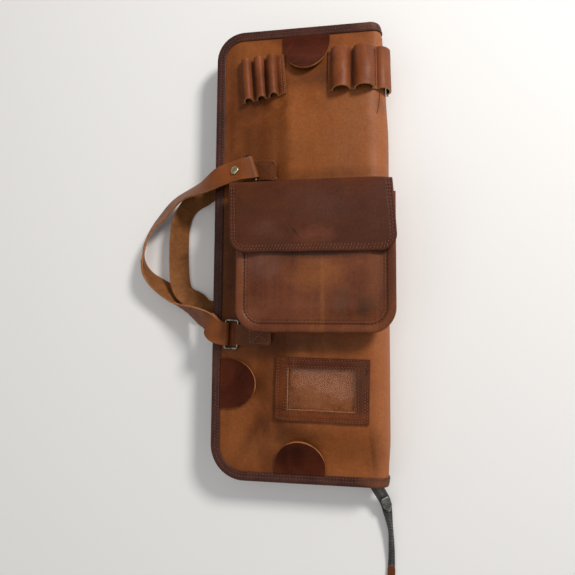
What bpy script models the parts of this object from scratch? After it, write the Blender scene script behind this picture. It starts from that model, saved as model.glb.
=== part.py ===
# A leather drumstick bag, closed and lying on its back cover, in metres with +Z up.
# +Y runs along the bag towards its loops, +X to its round spine, and the zip side is at -X.
# The origin is the middle of the flat back cover, at the height of the surface it lies on.
import math

import bmesh
import bpy
from mathutils import Vector
from mathutils.bvhtree import BVHTree

# Closed bag, over the edge binding
bag_length = 0.461
bag_width = 0.1776
bag_thickness = 0.044
edge_thickness = 0.0232
leather = 0.0026
corner_radius_top = 0.028
corner_radius_bottom = 0.033
end_taper = 0.060
gap = 0.0003
laid_gap = 0.0010

# Edge binding and zip
binding_reach = 0.0095
binding_leather = 0.0012
binding_clearance = 0.00035
zip_inset = 0.0045
tape_thickness = 0.0008
tape_tuck = 0.006
teeth_height = 0.0052
teeth_thickness = 0.0024
tape_past_arc = 0.0040
zip_end_step = 0.0015
teeth_end_from_spine = 0.024

# Zip tail
tail_length = 0.082
tail_width = 0.0115
tail_thickness = 0.0016
tail_mouth_height = 0.022
tail_from_spine = 0.0140
slider_length = 0.017
slider_width = 0.0092
slider_thickness = 0.0034
slider_clearance = 0.0020
end_tab_length = 0.026
end_tab_width = 0.0075
end_tab_leather = 0.0018

# Big pocket
pocket_width = 0.1496
pocket_height = 0.1300
pocket_depth = 0.0240
pocket_middle_x = 0.0188
pocket_bottom_y = -0.0841
pocket_corner = 0.0240
pocket_corner_least = 0.0040
pocket_leather = 0.0022
pocket_rim = 0.0080
pocket_puff = 0.0026
gusset_leather = 0.0018
gusset_slope = 0.0060
gusset_foot = 0.0070
gusset_lip = 0.08

# Flap over the pocket
flap_width_top = 0.1533
flap_width_bottom = 0.1562
flap_root_width = 0.1400
flap_middle_x = 0.0139
flap_shift = 0.0034
flap_root_shift = 0.0040
flap_length = 0.0700
flap_bend_y = 0.0605
flap_corner = 0.0160
flap_leather = 0.0024
flap_clearance = 0.0006

# Half-round tabs at the edge binding
edge_tab_leather = 0.0024
edge_tab_rise = 0.0060
edge_tab_straight = 0.18
edge_tab_top_width = 0.0475
edge_tab_top_length = 0.0420
edge_tab_top_x = 0.0066
edge_tab_left_width = 0.0490
edge_tab_left_length = 0.0375
edge_tab_left_y = -0.1349
edge_tab_bottom_width = 0.0492
edge_tab_bottom_length = 0.0330
edge_tab_bottom_x = 0.0022

# Strips sewn down into loops
small_loop_width = 0.0110
small_loop_height = 0.0094
small_loop_pitch = 0.0135
small_loop_length = 0.0450
small_loop_leather = 0.0016
small_loops_inset = 0.0478
small_loops_from_end = 0.0543
small_loops_turn = 5.0
small_loops_end = 0.0066
large_loop_width = 0.0195
large_loop_height = 0.0110
large_loop_pitch = 0.0222
large_loop_length = 0.0460
large_loop_leather = 0.0019
large_loops_from_spine = 0.0246
large_loops_from_end = 0.0523
large_loops_turn = 1.0
large_loops_end = 0.0020
loop_count = 3

# Name card window
window_width = 0.0908
window_height = 0.0605
window_x = 0.0236
window_y = -0.1383
window_turn = -1.0
window_opening_width = 0.0636
window_opening_height = 0.0384
window_leather = 0.0018
pane_thickness = 0.0006
window_gap = 0.0014

# Straps, rings and their tabs
strap_width = 0.0230
strap_leather = 0.0022
strap_return = 0.0235
strap_return_opening = 0.0180
front_reach = 0.0863
front_span = 0.1676
front_middle_y = -0.0023
back_reach = 0.0464
back_span = 0.1500
back_middle_y = 0.0060
front_upper_bar_inset = 0.0424
front_upper_bar_y = 0.0801
front_upper_bar_lift = 0.0100
front_upper_heading = 198.0
front_lower_bar_inset = 0.0147
front_lower_bar_y = -0.0861
front_lower_bar_lift = 0.0050
front_lower_heading = 178.0
back_bar_inset = 0.0168
back_upper_bar_y = 0.0815
back_lower_bar_y = -0.0710
back_bar_lift = 0.0048
back_upper_heading = 195.0
back_lower_heading = 166.0
ring_wire = 0.0030
ring_depth = 0.0130
ring_play = 0.0010
ring_corner = 0.0018
ring_reach_least = 0.6
tab_width = 0.0205
tab_leather = 0.0018
tab_length_front = 0.0355
tab_length_back = 0.0310
tab_opening = 0.42
rivet_diameter = 0.0090
rivet_height = 0.0018
rivet_from_fold = 0.0160
stud_diameter = 0.0085
stud_height = 0.0024

# Share of the bag's width in from the zip edge, and share of the taper left there
edge_taper_rows = [
    ("binding edge", 0.000, 1.00),
    ("inside the binding", 0.076, 1.00),
    ("over the zip", 0.120, 0.91),
    ("first tab", 0.250, 0.77),
    ("slope", 0.360, 0.43),
    ("full thickness", 0.455, 0.00),
]

# Share of half the bag's length from its middle, and share of its width that the spine draws in
spine_draw_rows = [
    ("bottom end", -1.000, 0.018),
    ("bottom corner", -0.960, 0.010),
    ("bottom run", -0.800, 0.000),
    ("upper run", 0.450, 0.000),
    ("under the loops", 0.720, 0.014),
    ("top corner", 0.930, 0.030),
    ("top edge", 0.960, 0.037),
    ("top end", 1.000, 0.050),
]

# Soft dents of the front cover: middle and half size as shares of the bag, depth as a share of its leather
dent_rows = [
    ("crease by the spine", 0.400, -0.420, 0.050, 0.110, 0.45),
    ("hollow above the window", 0.050, -0.215, 0.300, 0.040, 0.25),
    ("hollow under the loops", 0.100, 0.270, 0.260, 0.060, 0.35),
]

# Across the pocket's front: name, share of the rim's width in from its edge, share of the puff
pocket_panel_rows = [
    ("edge", 0.00, 0.00),
    ("rim", 0.80, 0.00),
    ("stitch groove", 1.05, -0.10),
    ("shoulder", 1.50, 0.45),
    ("crown", 2.60, 0.85),
]

# Flap from root to lower edge: share of its length run forward of the bend, share of the rise, width share
flap_rows = [
    ("under the mouth", 0.170, 0.00, 0.00),
    ("root", 0.060, 0.00, 0.00),
    ("foot of the bend", -0.005, 0.12, 0.30),
    ("rise", -0.012, 0.45, 0.75),
    ("back of the bend", 0.000, 0.74, 1.00),
    ("bend", 0.045, 0.90, 1.00),
    ("shoulder", 0.150, 0.97, 1.00),
    ("front", 0.330, 1.00, 1.00),
    ("middle", 0.560, 1.00, 1.00),
]

# Straps: share of the reach past the zip edge, share of half the span, height and lean.
# Height is a share of the strap's width, and lean is its turn from standing on edge, in degrees.
front_strap_rows = [
    ("over the tab", -0.368, 0.960, 2.130, 80),
    ("under the rivet", -0.229, 0.934, 2.000, 77),
    ("bag edge", -0.085, 0.887, 1.950, 72),
    ("leaving the bag", 0.137, 0.803, 1.650, 48),
    ("falling", 0.374, 0.743, 1.220, 34),
    ("upper bow", 0.578, 0.642, 0.880, 39),
    ("bow", 0.739, 0.505, 0.670, 38),
    ("outer bow", 0.867, 0.384, 0.580, 29),
    ("before the stud", 0.959, 0.212, 0.557, 28),
    ("farthest", 0.998, 0.056, 0.545, 27),
    ("stud", 0.994, -0.087, 0.530, 15),
    ("turning back", 0.936, -0.228, 0.522, -6),
    ("lower bow", 0.826, -0.343, 0.525, -24),
    ("leaning out", 0.710, -0.432, 0.520, -33),
    ("under the other", 0.611, -0.527, 0.500, -22),
    ("on edge", 0.524, -0.641, 0.530, 3),
    ("rising", 0.397, -0.712, 0.760, 18),
    ("opening flat", 0.231, -0.778, 1.170, 38),
    ("lower edge of the bag", 0.068, -0.846, 1.590, 52),
    ("onto the ring", -0.058, -0.962, 1.850, 82),
]
back_strap_rows = [
    ("under the cover", -0.103, 0.964, 0.165, -88),
    ("bag edge", 0.177, 0.907, 0.200, -80),
    ("turning up", 0.410, 0.790, 0.290, -62),
    ("upper bow", 0.620, 0.680, 0.440, -38),
    ("bow", 0.790, 0.575, 0.470, -30),
    ("outer bow", 0.905, 0.450, 0.470, -32),
    ("upper grip", 0.972, 0.307, 0.445, -37),
    ("grip", 0.998, 0.116, 0.435, -41),
    ("farthest", 0.994, -0.205, 0.432, -42),
    ("lower grip", 0.959, -0.488, 0.425, -45),
    ("lower bow", 0.880, -0.630, 0.420, -46),
    ("turning in", 0.740, -0.715, 0.390, -52),
    ("laying down", 0.580, -0.775, 0.310, -62),
    ("flat", 0.414, -0.877, 0.235, -72),
    ("lower edge of the bag", 0.134, -0.940, 0.175, -84),
    ("under the lower cover", -0.103, -0.984, 0.160, -88),
]

# Zip tail: share of its length past the bag, sideways and up as shares of it, width share, twist in degrees
tail_rows = [
    ("inside the bag", -0.090, -0.030, 1.000, 1.00, 0),
    ("mouth", 0.000, 0.000, 1.000, 1.00, 5),
    ("over the slider", 0.130, 0.061, 0.620, 1.00, 12),
    ("slider", 0.240, 0.110, 0.340, 0.95, 14),
    ("folded", 0.350, 0.134, 0.250, 0.85, 25),
    ("twisted", 0.580, 0.171, 0.230, 0.60, 55),
    ("turned flat", 0.830, 0.180, 0.140, 0.55, 20),
    ("end", 1.000, 0.177, 0.080, 0.60, 6),
]

side_points = 7
corner_steps = 4
curve_steps = 8
strap_steps = 3
tail_steps = 3
window_steps = 9
wire_sides = 6
mid_height = bag_thickness / 2
sheet_half_length = bag_length / 2 - binding_leather - binding_clearance
sheet_edge_x = -bag_width / 2 + binding_leather + binding_clearance
taper_drop = (bag_thickness - edge_thickness) / 2 + binding_leather + binding_clearance
up = Vector((0, 0, 1))

for old in list(bpy.data.objects):
    bpy.data.objects.remove(old, do_unlink=True)


def material(name, colour, roughness, metallic=0.0, alpha=1.0):
    made = bpy.data.materials.new(name)
    made.use_nodes = True
    shader = made.node_tree.nodes["Principled BSDF"]
    shader.inputs["Base Color"].default_value = (*colour, 1.0)
    shader.inputs["Roughness"].default_value = roughness
    shader.inputs["Metallic"].default_value = metallic
    shader.inputs["Alpha"].default_value = alpha
    return made


tan_leather = material("tan_leather", (0.22, 0.075, 0.022), 0.55)
dark_leather = material("dark_leather", (0.085, 0.026, 0.012), 0.5)
binding_brown = material("binding_brown", (0.060, 0.019, 0.014), 0.5)
pocket_brown = material("pocket_brown", (0.14, 0.042, 0.018), 0.5)
strap_tan = material("strap_tan", (0.19, 0.060, 0.016), 0.5)
brass = material("brass", (0.42, 0.36, 0.20), 0.35, 1.0)
nickel = material("nickel", (0.30, 0.29, 0.27), 0.3, 1.0)
zip_cloth = material("zip_cloth", (0.022, 0.020, 0.017), 0.8)
clear_film = material("clear_film", (0.62, 0.45, 0.34), 0.15, 0.0, 0.35)


def ease(share):
    share = min(max(share, 0.0), 1.0)
    return share * share * (3 - 2 * share)


def along_rows(rows, place, column=2):
    """Value of one column of a table of rows at a place in its first number column."""
    if place <= rows[0][1]:
        return rows[0][column]
    for low, high in zip(rows, rows[1:]):
        if place <= high[1]:
            share = ease((place - low[1]) / (high[1] - low[1]))
            return low[column] + (high[column] - low[column]) * share
    return rows[-1][column]


def smooth_path(points, steps):
    """Points on a smooth curve through the given ones."""
    path = []
    for index in range(len(points) - 1):
        before = points[max(index - 1, 0)]
        start, end = points[index], points[index + 1]
        after = points[min(index + 2, len(points) - 1)]
        for step in range(steps):
            t = step / steps
            path.append(
                0.5 * (2 * start + (end - before) * t
                       + (2 * before - 5 * start + 4 * end - after) * t * t
                       + (3 * start - before - 3 * end + after) * t ** 3)
            )
    path.append(points[-1].copy())
    return path


def spread(low, high, count):
    return [low + (high - low) * index / count for index in range(count + 1)]


# Shape of the closed bag

def half_thickness(x, y):
    """Half the bag's thickness at a place on its covers."""
    from_zip = along_rows(edge_taper_rows, (x + bag_width / 2) / bag_width)
    past_binding = bag_length / 2 - abs(y) - binding_reach - leather
    from_end = 1 - ease(past_binding / (end_taper - binding_reach - leather))
    return mid_height - taper_drop * (1 - (1 - from_zip) * (1 - from_end))


def spine_radius(y):
    return half_thickness(bag_width, y)


def arc_start(y):
    """Where the flat covers turn into the round spine."""
    drawn = along_rows(spine_draw_rows, 2 * y / bag_length)
    return bag_width * (0.5 - drawn) - spine_radius(y)


def zip_edge(y):
    """Edge of the sheet on the zip side, with its rounded corners."""
    radius = corner_radius_top if y > 0 else corner_radius_bottom
    into = abs(y) - (sheet_half_length - radius)
    if into <= 0:
        return sheet_edge_x
    return sheet_edge_x + radius - math.sqrt(max(radius ** 2 - into ** 2, 0.0))


def dents(x, y):
    depth = 0.0
    for _, across, along, half_across, half_along, share in dent_rows:
        away = math.hypot((x / bag_width - across) / half_across, (y / bag_length - along) / half_along)
        depth += share * leather * (1 - ease(away))
    return depth


def cover_point(s, y, lift=0.0):
    """Point a height above the front cover; s is x, and runs on round the spine as arc length."""
    start = arc_start(y)
    if s <= start:
        return Vector((s, y, mid_height + half_thickness(s, y) - dents(s, y) + lift))
    radius = spine_radius(y)
    angle = (s - start) / radius
    reach = radius + lift - dents(start, y) * max(1 - angle, 0.0)
    return Vector((start + reach * math.sin(angle), y, mid_height + reach * math.cos(angle)))


def on_front(s, y, lift=0.0):
    """The same point, above the facets of the finished shell."""
    base, above = cover_point(s, y), cover_point(s, y, bag_thickness / 2)
    out = (above - base).normalized()
    found = shell_tree.ray_cast(above, -out, bag_thickness)
    return (found[0] or base) + out * lift


def round_spine(x, y):
    """Distance along the front cover that lies under a given x."""
    start = arc_start(y)
    if x <= start:
        return x
    radius = spine_radius(y)
    return start + radius * math.asin(min((x - start) / radius, 0.99))


def back_point(x, y, lift=0.0):
    """Point a height below the back cover."""
    return Vector((x, y, mid_height - half_thickness(x, y) - lift))


def under_back(x, y, lift=0.0):
    """The same point, below the facets of the finished shell."""
    base = back_point(x, y)
    found = shell_tree.ray_cast(base - up * bag_thickness / 2, up, bag_thickness)
    return (found[0] or base) - up * lift


# Meshes

def finish(name, mesh_data, look):
    mesh = bpy.data.meshes.new(name)
    mesh_data.normal_update()
    mesh_data.to_mesh(mesh)
    mesh_data.free()
    mesh.materials.append(look)
    mesh.shade_smooth()
    mesh.set_sharp_from_angle(angle=math.radians(35))
    made = bpy.data.objects.new(name, mesh)
    bpy.context.scene.collection.objects.link(made)
    return made


def grid_faces(data, rows, flip=False):
    for low, high in zip(rows, rows[1:]):
        for a, b, c, d in zip(low, low[1:], high[1:], high):
            corners = [a, b, c, d]
            kept = [v for i, v in enumerate(corners) if v not in corners[:i]]
            if len(kept) > 2:
                data.faces.new(kept[::-1] if flip else kept)


def slab(name, outer, inner, look):
    """One closed wall between two grids of points of the same size."""
    data = bmesh.new()
    top = [[data.verts.new(p) for p in row] for row in outer]
    bottom = [[data.verts.new(p) for p in row] for row in inner]
    grid_faces(data, top)
    grid_faces(data, bottom, True)
    rims = [
        (top[0], bottom[0], True), (top[-1], bottom[-1], False),
        ([row[0] for row in top], [row[0] for row in bottom], False),
        ([row[-1] for row in top], [row[-1] for row in bottom], True),
    ]
    for near, far, flip in rims:
        grid_faces(data, [near, far], not flip)
    bmesh.ops.remove_doubles(data, verts=data.verts, dist=1e-7)
    bmesh.ops.recalc_face_normals(data, faces=data.faces)
    return finish(name, data, look)


def offset_grid(rows, depth):
    """The grid moved along its own normals."""
    moved = []
    for i, row in enumerate(rows):
        line = []
        for j, point in enumerate(row):
            across = row[min(j + 1, len(row) - 1)] - row[max(j - 1, 0)]
            along = rows[min(i + 1, len(rows) - 1)][j] - rows[max(i - 1, 0)][j]
            line.append(point - across.cross(along).normalized() * depth)
        moved.append(line)
    return moved


def sheet(name, rows, thickness, look):
    """A wall whose outer face is the grid; across x along points outwards."""
    return slab(name, rows, offset_grid(rows, thickness), look)


def sweep(name, sections, look, closed=False):
    """A solid through closed sections, as a ring or with both ends capped."""
    data = bmesh.new()
    rings = [[data.verts.new(p) for p in section] for section in sections]
    pairs = list(zip(rings, rings[1:]))
    if closed:
        pairs.append((rings[-1], rings[0]))
    for low, high in pairs:
        grid_faces(data, [low + [low[0]], high + [high[0]]])
    if not closed:
        data.faces.new(rings[0][::-1])
        data.faces.new(rings[-1])
    bmesh.ops.recalc_face_normals(data, faces=data.faces)
    return finish(name, data, look)


def ribbon(name, centres, widths, width, thickness, look):
    """A strap along a path; widths are unit vectors across it, and width may be a list."""
    sections = []
    for index, (centre, across) in enumerate(zip(centres, widths)):
        ahead = centres[min(index + 1, len(centres) - 1)] - centres[max(index - 1, 0)]
        normal = ahead.cross(across).normalized()
        half = (width[index] if isinstance(width, list) else width) / 2
        rise = normal * thickness / 2
        side = across * half
        sections.append([centre - side - rise, centre + side - rise, centre + side + rise, centre - side + rise])
    return sweep(name, sections, look)


# Shell and binding

def spine_angles():
    return [math.pi * step / (2 * side_points - 2) for step in range(2 * side_points - 1)]


def cover_columns(y, start):
    """Places across a flat cover, from the zip edge to the spine."""
    edge = zip_edge(y)
    inside = bag_width * (edge_taper_rows[1][1] - 0.5)
    shares = (0.0, 0.14, 0.29, 0.40, 0.474, 0.70, 1.0)
    first = max(inside, edge + (start - edge) * 0.06)
    return [edge] + [first + (start - first) * share for share in shares]


def cover_rows():
    """Places along the bag, closer together round its corners."""
    rows = []
    for sign, radius in ((-1, corner_radius_bottom), (1, corner_radius_top)):
        corner = [sheet_half_length - radius * (1 - math.sin(math.pi / 2 * step / corner_steps))
                  for step in range(corner_steps + 1)]
        runs = [0.10, 0.36, 0.62, 0.79]
        flat = [sheet_half_length * share for share in runs if sheet_half_length * share < corner[0] - 0.004]
        rows += [sign * place for place in flat + corner + [bag_length / 2 - binding_reach]]
    return sorted(rows)


def shell_section(y, inset):
    start = arc_start(y)
    columns = cover_columns(y, start)
    front = [cover_point(x, y, -inset) for x in columns]
    radius = spine_radius(y) - inset
    dent = dents(start, y)
    arc = []
    for angle in spine_angles()[1:-1]:
        reach = radius - dent * max(1 - angle, 0.0)
        arc.append(Vector((start + reach * math.sin(angle), y, mid_height + reach * math.cos(angle))))
    back = [back_point(x, y, -inset) for x in reversed(columns)]
    return front + arc + back


def build_shell():
    rows = cover_rows()
    outer = [shell_section(y, 0.0) for y in rows]
    inner = [shell_section(y, leather) for y in rows]
    slab("shell", outer, inner, tan_leather)
    columns = len(outer[0])
    points = [point for row in outer for point in row]
    faces = []
    for row in range(len(outer) - 1):
        for column in range(columns - 1):
            low = row * columns + column
            faces.append((low, low + 1, low + columns + 1, low + columns))
    return outer, BVHTree.FromPolygons(points, faces)


def binding_section(edge, inward, normal):
    """The strip's U section at one place of the sheet's edge."""
    inner_run = inward * binding_reach - inward * (binding_clearance + binding_leather)
    out = -inward * binding_clearance
    over = -inward * (binding_clearance + binding_leather)
    top = normal * binding_clearance
    top_out = normal * (binding_clearance + binding_leather)
    low = -normal * (leather + binding_clearance)
    low_out = low - normal * binding_leather
    middle = -normal * leather / 2
    return [edge + inner_run + top, edge + inner_run + top_out, edge + over * 0.4 + top_out,
            edge + over + middle, edge + over * 0.4 + low_out, edge + inner_run + low_out,
            edge + inner_run + low, edge + out + low, edge + out + top]


def build_binding(outer):
    """Follows the four edges of the sheet's grid as one closed ring."""
    columns = len(outer[0])
    edge = [(row[0], "front") for row in outer]
    edge += [(outer[-1][column], column) for column in range(1, columns - 1)]
    edge += [(row[-1], "back") for row in reversed(outer)]
    edge += [(outer[0][column], column) for column in range(columns - 2, 0, -1)]
    sections = []
    cover_count = len(cover_columns(0.0, arc_start(0.0)))
    for point, place in edge:
        y = point.y
        top_end = 1 if y > 0 else -1
        if place in ("front", "back"):
            radius = corner_radius_top if y > 0 else corner_radius_bottom
            rise = abs(y) - (sheet_half_length - radius)
            turn = math.asin(min(max(rise, 0.0) / radius, 1.0))
            inward = Vector((math.cos(turn), -top_end * math.sin(turn), 0))
            normal = up if place == "front" else -up
        else:
            inward = Vector((0, -top_end, 0))
            if place < cover_count:
                normal = up
            elif place >= columns - cover_count:
                normal = -up
            else:
                angle = spine_angles()[place - cover_count + 1]
                normal = Vector((math.sin(angle), 0, math.cos(angle)))
                shift = arc_start(y - top_end * binding_reach) - arc_start(y)
                inward = Vector((shift / binding_reach, -top_end, 0))
        sections.append(binding_section(point, inward, normal))
    sweep("edge_binding", sections, binding_brown, closed=True)


# Zip

def zip_room(x, y):
    """Half the height that the folded binding leaves free at a place of the bag's end."""
    room = mid_height - taper_drop - leather - 2 * binding_clearance - binding_leather
    past = max(x - arc_start(y), 0.0)
    return math.sqrt(max(room ** 2 - past ** 2, 0.0))


def end_run(right, corner, y):
    """Places along one end of the bag, from the zip's end by the spine to the rounded corner."""
    near = [right - zip_end_step * step for step in range(4)]
    far = [near[-1] + (corner - near[-1]) * share for share in (0.3, 0.6)]
    return [Vector((x, y, 0)) for x in near + far]


def zip_path(inset, top_end, bottom_end):
    """Plan path just inside the bag's outline, between its ends by the top and bottom of the spine."""
    top = bag_length / 2 - inset
    left = -bag_width / 2 + inset
    path = end_run(top_end, left + corner_radius_top, top)
    for sign, radius in ((1, corner_radius_top), (-1, corner_radius_bottom)):
        bend = radius - inset
        centre = Vector((left + bend, sign * (top - bend), 0))
        turns = spread(0, math.pi / 2, 5)
        arc = [centre + Vector((-math.sin(turn), sign * math.cos(turn), 0)) * bend for turn in turns]
        path += arc if sign == 1 else [Vector((left, 0, 0))] + arc[::-1]
    path += end_run(bottom_end, left + corner_radius_bottom, -top)[::-1]
    return path


def inward_of(path, index):
    ahead = path[min(index + 1, len(path) - 1)] - path[max(index - 1, 0)]
    return Vector((-ahead.y, ahead.x, 0)).normalized()


def build_zip():
    top = bag_length / 2 - zip_inset
    path = zip_path(zip_inset, arc_start(top) + tape_past_arc, arc_start(-top) + tape_past_arc)
    for name, side in (("zip_tape_upper", 1), ("zip_tape_lower", -1)):
        sections = []
        for index, place in enumerate(path):
            inward = inward_of(path, index)
            middle = place + up * mid_height
            low = side * up * (teeth_height / 2 + gap)
            high = side * up * zip_room(place.x, place.y)
            wall = inward * tape_thickness
            lip = side * up * tape_thickness
            sections.append([
                middle + low, middle + high, middle + high + inward * tape_tuck,
                middle + high + inward * tape_tuck - lip, middle + high + wall - lip, middle + low + wall,
            ])
        sweep(name, sections, zip_cloth)
    path = zip_path(zip_inset, arc_start(top) + tape_past_arc, bag_width / 2 - teeth_end_from_spine)
    sections = []
    for index, place in enumerate(path):
        inward = inward_of(path, index)
        middle = place + up * mid_height + inward * tape_thickness / 2
        half = inward * teeth_thickness / 2
        rise = up * teeth_height / 2
        sections.append([middle - half - rise * 0.6, middle - half + rise * 0.6, middle + rise,
                         middle + half + rise * 0.6, middle + half - rise * 0.6, middle - rise])
    sweep("zip_teeth", sections, nickel)


def tail_frames():
    """Centres, unit widths and widths of the tail from the bag's mouth to its end."""
    mouth = Vector((bag_width / 2 - tail_from_spine, -bag_length / 2, 0))
    points, shapes = [], []
    for _, along, aside, height, width, twist in tail_rows:
        points.append(mouth + Vector((aside * tail_length, -along * tail_length, height * tail_mouth_height)))
        shapes.append(Vector((width * tail_width, twist, 0)))
    path = smooth_path(points, tail_steps)
    forms = smooth_path(shapes, tail_steps)
    across = []
    for index, form in enumerate(forms):
        ahead = (path[min(index + 1, len(path) - 1)] - path[max(index - 1, 0)]).normalized()
        side = ahead.cross(up).normalized()
        lifted = side.cross(ahead).normalized()
        twist = math.radians(form.y)
        across.append(side * math.cos(twist) + lifted * math.sin(twist))
    return path, across, [form.x for form in forms]


def build_tail():
    path, across, widths = tail_frames()
    ribbon("zip_tail", path, across, widths, tail_thickness, zip_cloth)
    end = path[-1]
    ahead = (path[-1] - path[-3]).normalized()
    side = across[-1]
    normal = ahead.cross(side).normalized()
    if normal.z < 0:
        normal = -normal
    sections = []
    start = end + ahead * gap
    for share, wide in ((0, 0.86), (0.12, 1.0), (0.5, 0.96), (0.85, 0.8), (1.0, 0.45)):
        centre = start + Vector((ahead.x, ahead.y, 0)) * end_tab_length * share
        centre.z = start.z + (end_tab_leather / 2 + gap - start.z) * share
        half = side * end_tab_width / 2 * wide
        rise = normal * end_tab_leather / 2
        sections.append([centre - half - rise, centre + half - rise, centre + half + rise, centre - half + rise])
    sweep("zip_end_tab", sections, dark_leather)
    build_slider(path, across)


def build_slider(path, across):
    """The slider's upper plate with its bridge and hanging pull, resting on the tail's tape."""
    wanted = tail_rows[3][1] * tail_length
    mouth_y = path[tail_steps].y
    index = min(range(len(path)), key=lambda i: abs(mouth_y - path[i].y - wanted))
    ahead = (path[index + 1] - path[index - 1]).normalized()
    side = across[index]
    normal = side.cross(ahead).normalized()
    if normal.z < 0:
        normal = -normal
    base = path[index] + normal * (tail_thickness / 2 + slider_clearance)
    profile = [(-0.50, 0.62, 0.30), (-0.42, 0.90, 0.62), (-0.10, 1.00, 0.72), (0.05, 0.98, 1.00),
               (0.20, 0.80, 1.00), (0.30, 0.55, 0.62), (0.50, 0.50, 0.40)]
    sections = []
    for along, wide, high in profile:
        centre = base + ahead * slider_length * along
        half = side * slider_width / 2 * wide
        rise = normal * slider_thickness * high
        sections.append([centre - half, centre + half, centre + half + rise * 0.7,
                         centre + half * 0.6 + rise, centre - half * 0.6 + rise, centre - half + rise * 0.7])
    sweep("zip_slider", sections, nickel)


# Big pocket

def pocket_curve(inset):
    """Plan curve down the left side, round the bottom and up the right side, moved inwards."""
    half = pocket_width / 2 - inset
    bottom = pocket_bottom_y + inset
    top = pocket_bottom_y + pocket_height
    radius = max(pocket_corner - inset, pocket_corner_least)
    sides = (0.0, 0.34, 0.68)
    left = [Vector((-half, top + (bottom + radius - top) * share, 0)) for share in sides]
    arc = []
    for turn in spread(0, math.pi / 2, corner_steps + 1):
        arc.append(Vector((-half + radius * (1 - math.cos(turn)), bottom + radius * (1 - math.sin(turn)), 0)))
    run = [Vector((-half * share, bottom, 0)) for share in (0.62, 0.42, 0.21)]
    lower = left + arc + run
    mirrored = [Vector((-point.x, point.y, 0)) for point in reversed(lower)]
    curve = lower + [Vector((0, bottom, 0))] + mirrored
    return [point + Vector((pocket_middle_x, 0, 0)) for point in curve]


def build_pocket():
    front_height = bag_thickness + pocket_depth
    rings = []
    for _, inset, puff in pocket_panel_rows:
        height = front_height + puff * pocket_puff
        rings.append([Vector((point.x, point.y, height)) for point in pocket_curve(inset * pocket_rim)])
    last = rings[-1]
    half_count = len(last) // 2
    fill = []
    for index in range(half_count):
        left, right = last[index], last[-1 - index]
        line = []
        for step in range(curve_steps + 1):
            share = step / curve_steps
            swell = math.sin(math.pi * share) * pocket_puff * (1 - pocket_panel_rows[-1][2])
            line.append(left.lerp(right, share) + up * swell)
        fill.append(line)
    fill.append([last[half_count]] * (curve_steps + 1))
    panel_mesh(rings, fill, front_height)
    build_gusset(front_height)


def panel_mesh(rings, fill, front_height):
    data = bmesh.new()
    tops, bottoms = [], []
    for shift, store in ((0.0, tops), (-pocket_leather, bottoms)):
        for row in rings:
            store.append([data.verts.new(point + up * shift) for point in row])
        last = store[-1]
        lines = []
        for index, line in enumerate(fill[:-1]):
            middle = [data.verts.new(point + up * shift) for point in line[1:-1]]
            lines.append([last[index], *middle, last[-1 - index]])
        lines.append([last[len(last) // 2]] * len(fill[0]))
        flip = shift != 0.0
        grid_faces(data, store, flip)
        grid_faces(data, lines, not flip)
        store.append(lines[0])
    grid_faces(data, [tops[0], bottoms[0]], True)
    mouth_top = [row[0] for row in tops[:-1]] + tops[-1][1:-1] + [row[-1] for row in reversed(tops[:-1])]
    mouth_low = [row[0] for row in bottoms[:-1]] + bottoms[-1][1:-1] + [row[-1] for row in reversed(bottoms[:-1])]
    grid_faces(data, [mouth_top, mouth_low])
    bmesh.ops.recalc_face_normals(data, faces=data.faces)
    finish("pocket_front", data, pocket_brown)


def build_gusset(front_height):
    """A strip with a rim under the front panel, a leaning wall and a foot on the cover."""
    under = front_height - pocket_leather - gap + pocket_panel_rows[2][2] * pocket_puff
    foot_inset = pocket_rim + gusset_slope
    outer_path = pocket_curve(0.0)
    wall_path = pocket_curve(pocket_rim - gusset_leather)
    low_path = pocket_curve(foot_inset - gusset_leather)
    foot_path = pocket_curve(foot_inset + gusset_foot)
    inner_wall = pocket_curve(pocket_rim)
    inner_low = pocket_curve(foot_inset)
    sections = []
    rise = Vector((0, 0, under))
    drop = Vector((0, 0, under - gusset_leather))
    raised = laid_gap + gusset_leather
    for rim, wall, low, foot, wall_in, low_in in zip(
            outer_path, wall_path, low_path, foot_path, inner_wall, inner_low):
        sections.append([
            rim + rise, rim + drop, wall + drop, above_cover(low, laid_gap), above_cover(foot, laid_gap),
            above_cover(foot, raised), above_cover(low_in, raised), wall_in + drop,
            wall_in.lerp(foot, gusset_lip) + rise,
        ])
    sweep("pocket_gusset", sections, pocket_brown)


def above_cover(point, lift):
    """The point's place in plan, a height straight above the front cover."""
    return Vector((point.x, point.y, on_front(round_spine(point.x, point.y), point.y).z + lift))


def build_flap():
    front_height = bag_thickness + pocket_depth
    crown = front_height + pocket_puff + flap_clearance + flap_leather
    profile = list(flap_rows)
    lower_y = flap_bend_y - flap_length
    corner_y = lower_y + flap_corner
    rows = []
    columns = spread(0.0, 1.0, 10)
    for _, forward, rise, widen in profile:
        y = flap_bend_y - forward * flap_length
        rows.append((y, rise, widen, 0.0))
    for turn in spread(0.12, math.pi / 2, corner_steps):
        rows.append((corner_y - flap_corner * math.sin(turn), 1.0, 1.0, flap_corner * (1 - math.cos(turn))))
    grid = []
    for y, rise, widen, cut in rows:
        down = min(max((flap_bend_y - y) / flap_length, 0.0), 1.0)
        full = flap_width_top + (flap_width_bottom - flap_width_top) * down
        width = flap_root_width + (full - flap_root_width) * widen
        middle = flap_middle_x + flap_shift * down - (1 - widen) * flap_root_shift
        line = []
        for share in columns:
            x = middle + (share - 0.5) * (width - 2 * cut)
            root = above_cover(Vector((x, y, 0)), flap_leather + laid_gap)
            line.append(root + up * (crown - root.z) * rise)
        grid.append(line)
    sheet("pocket_flap", grid[::-1], flap_leather, dark_leather)


# Tabs at the binding

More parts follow.
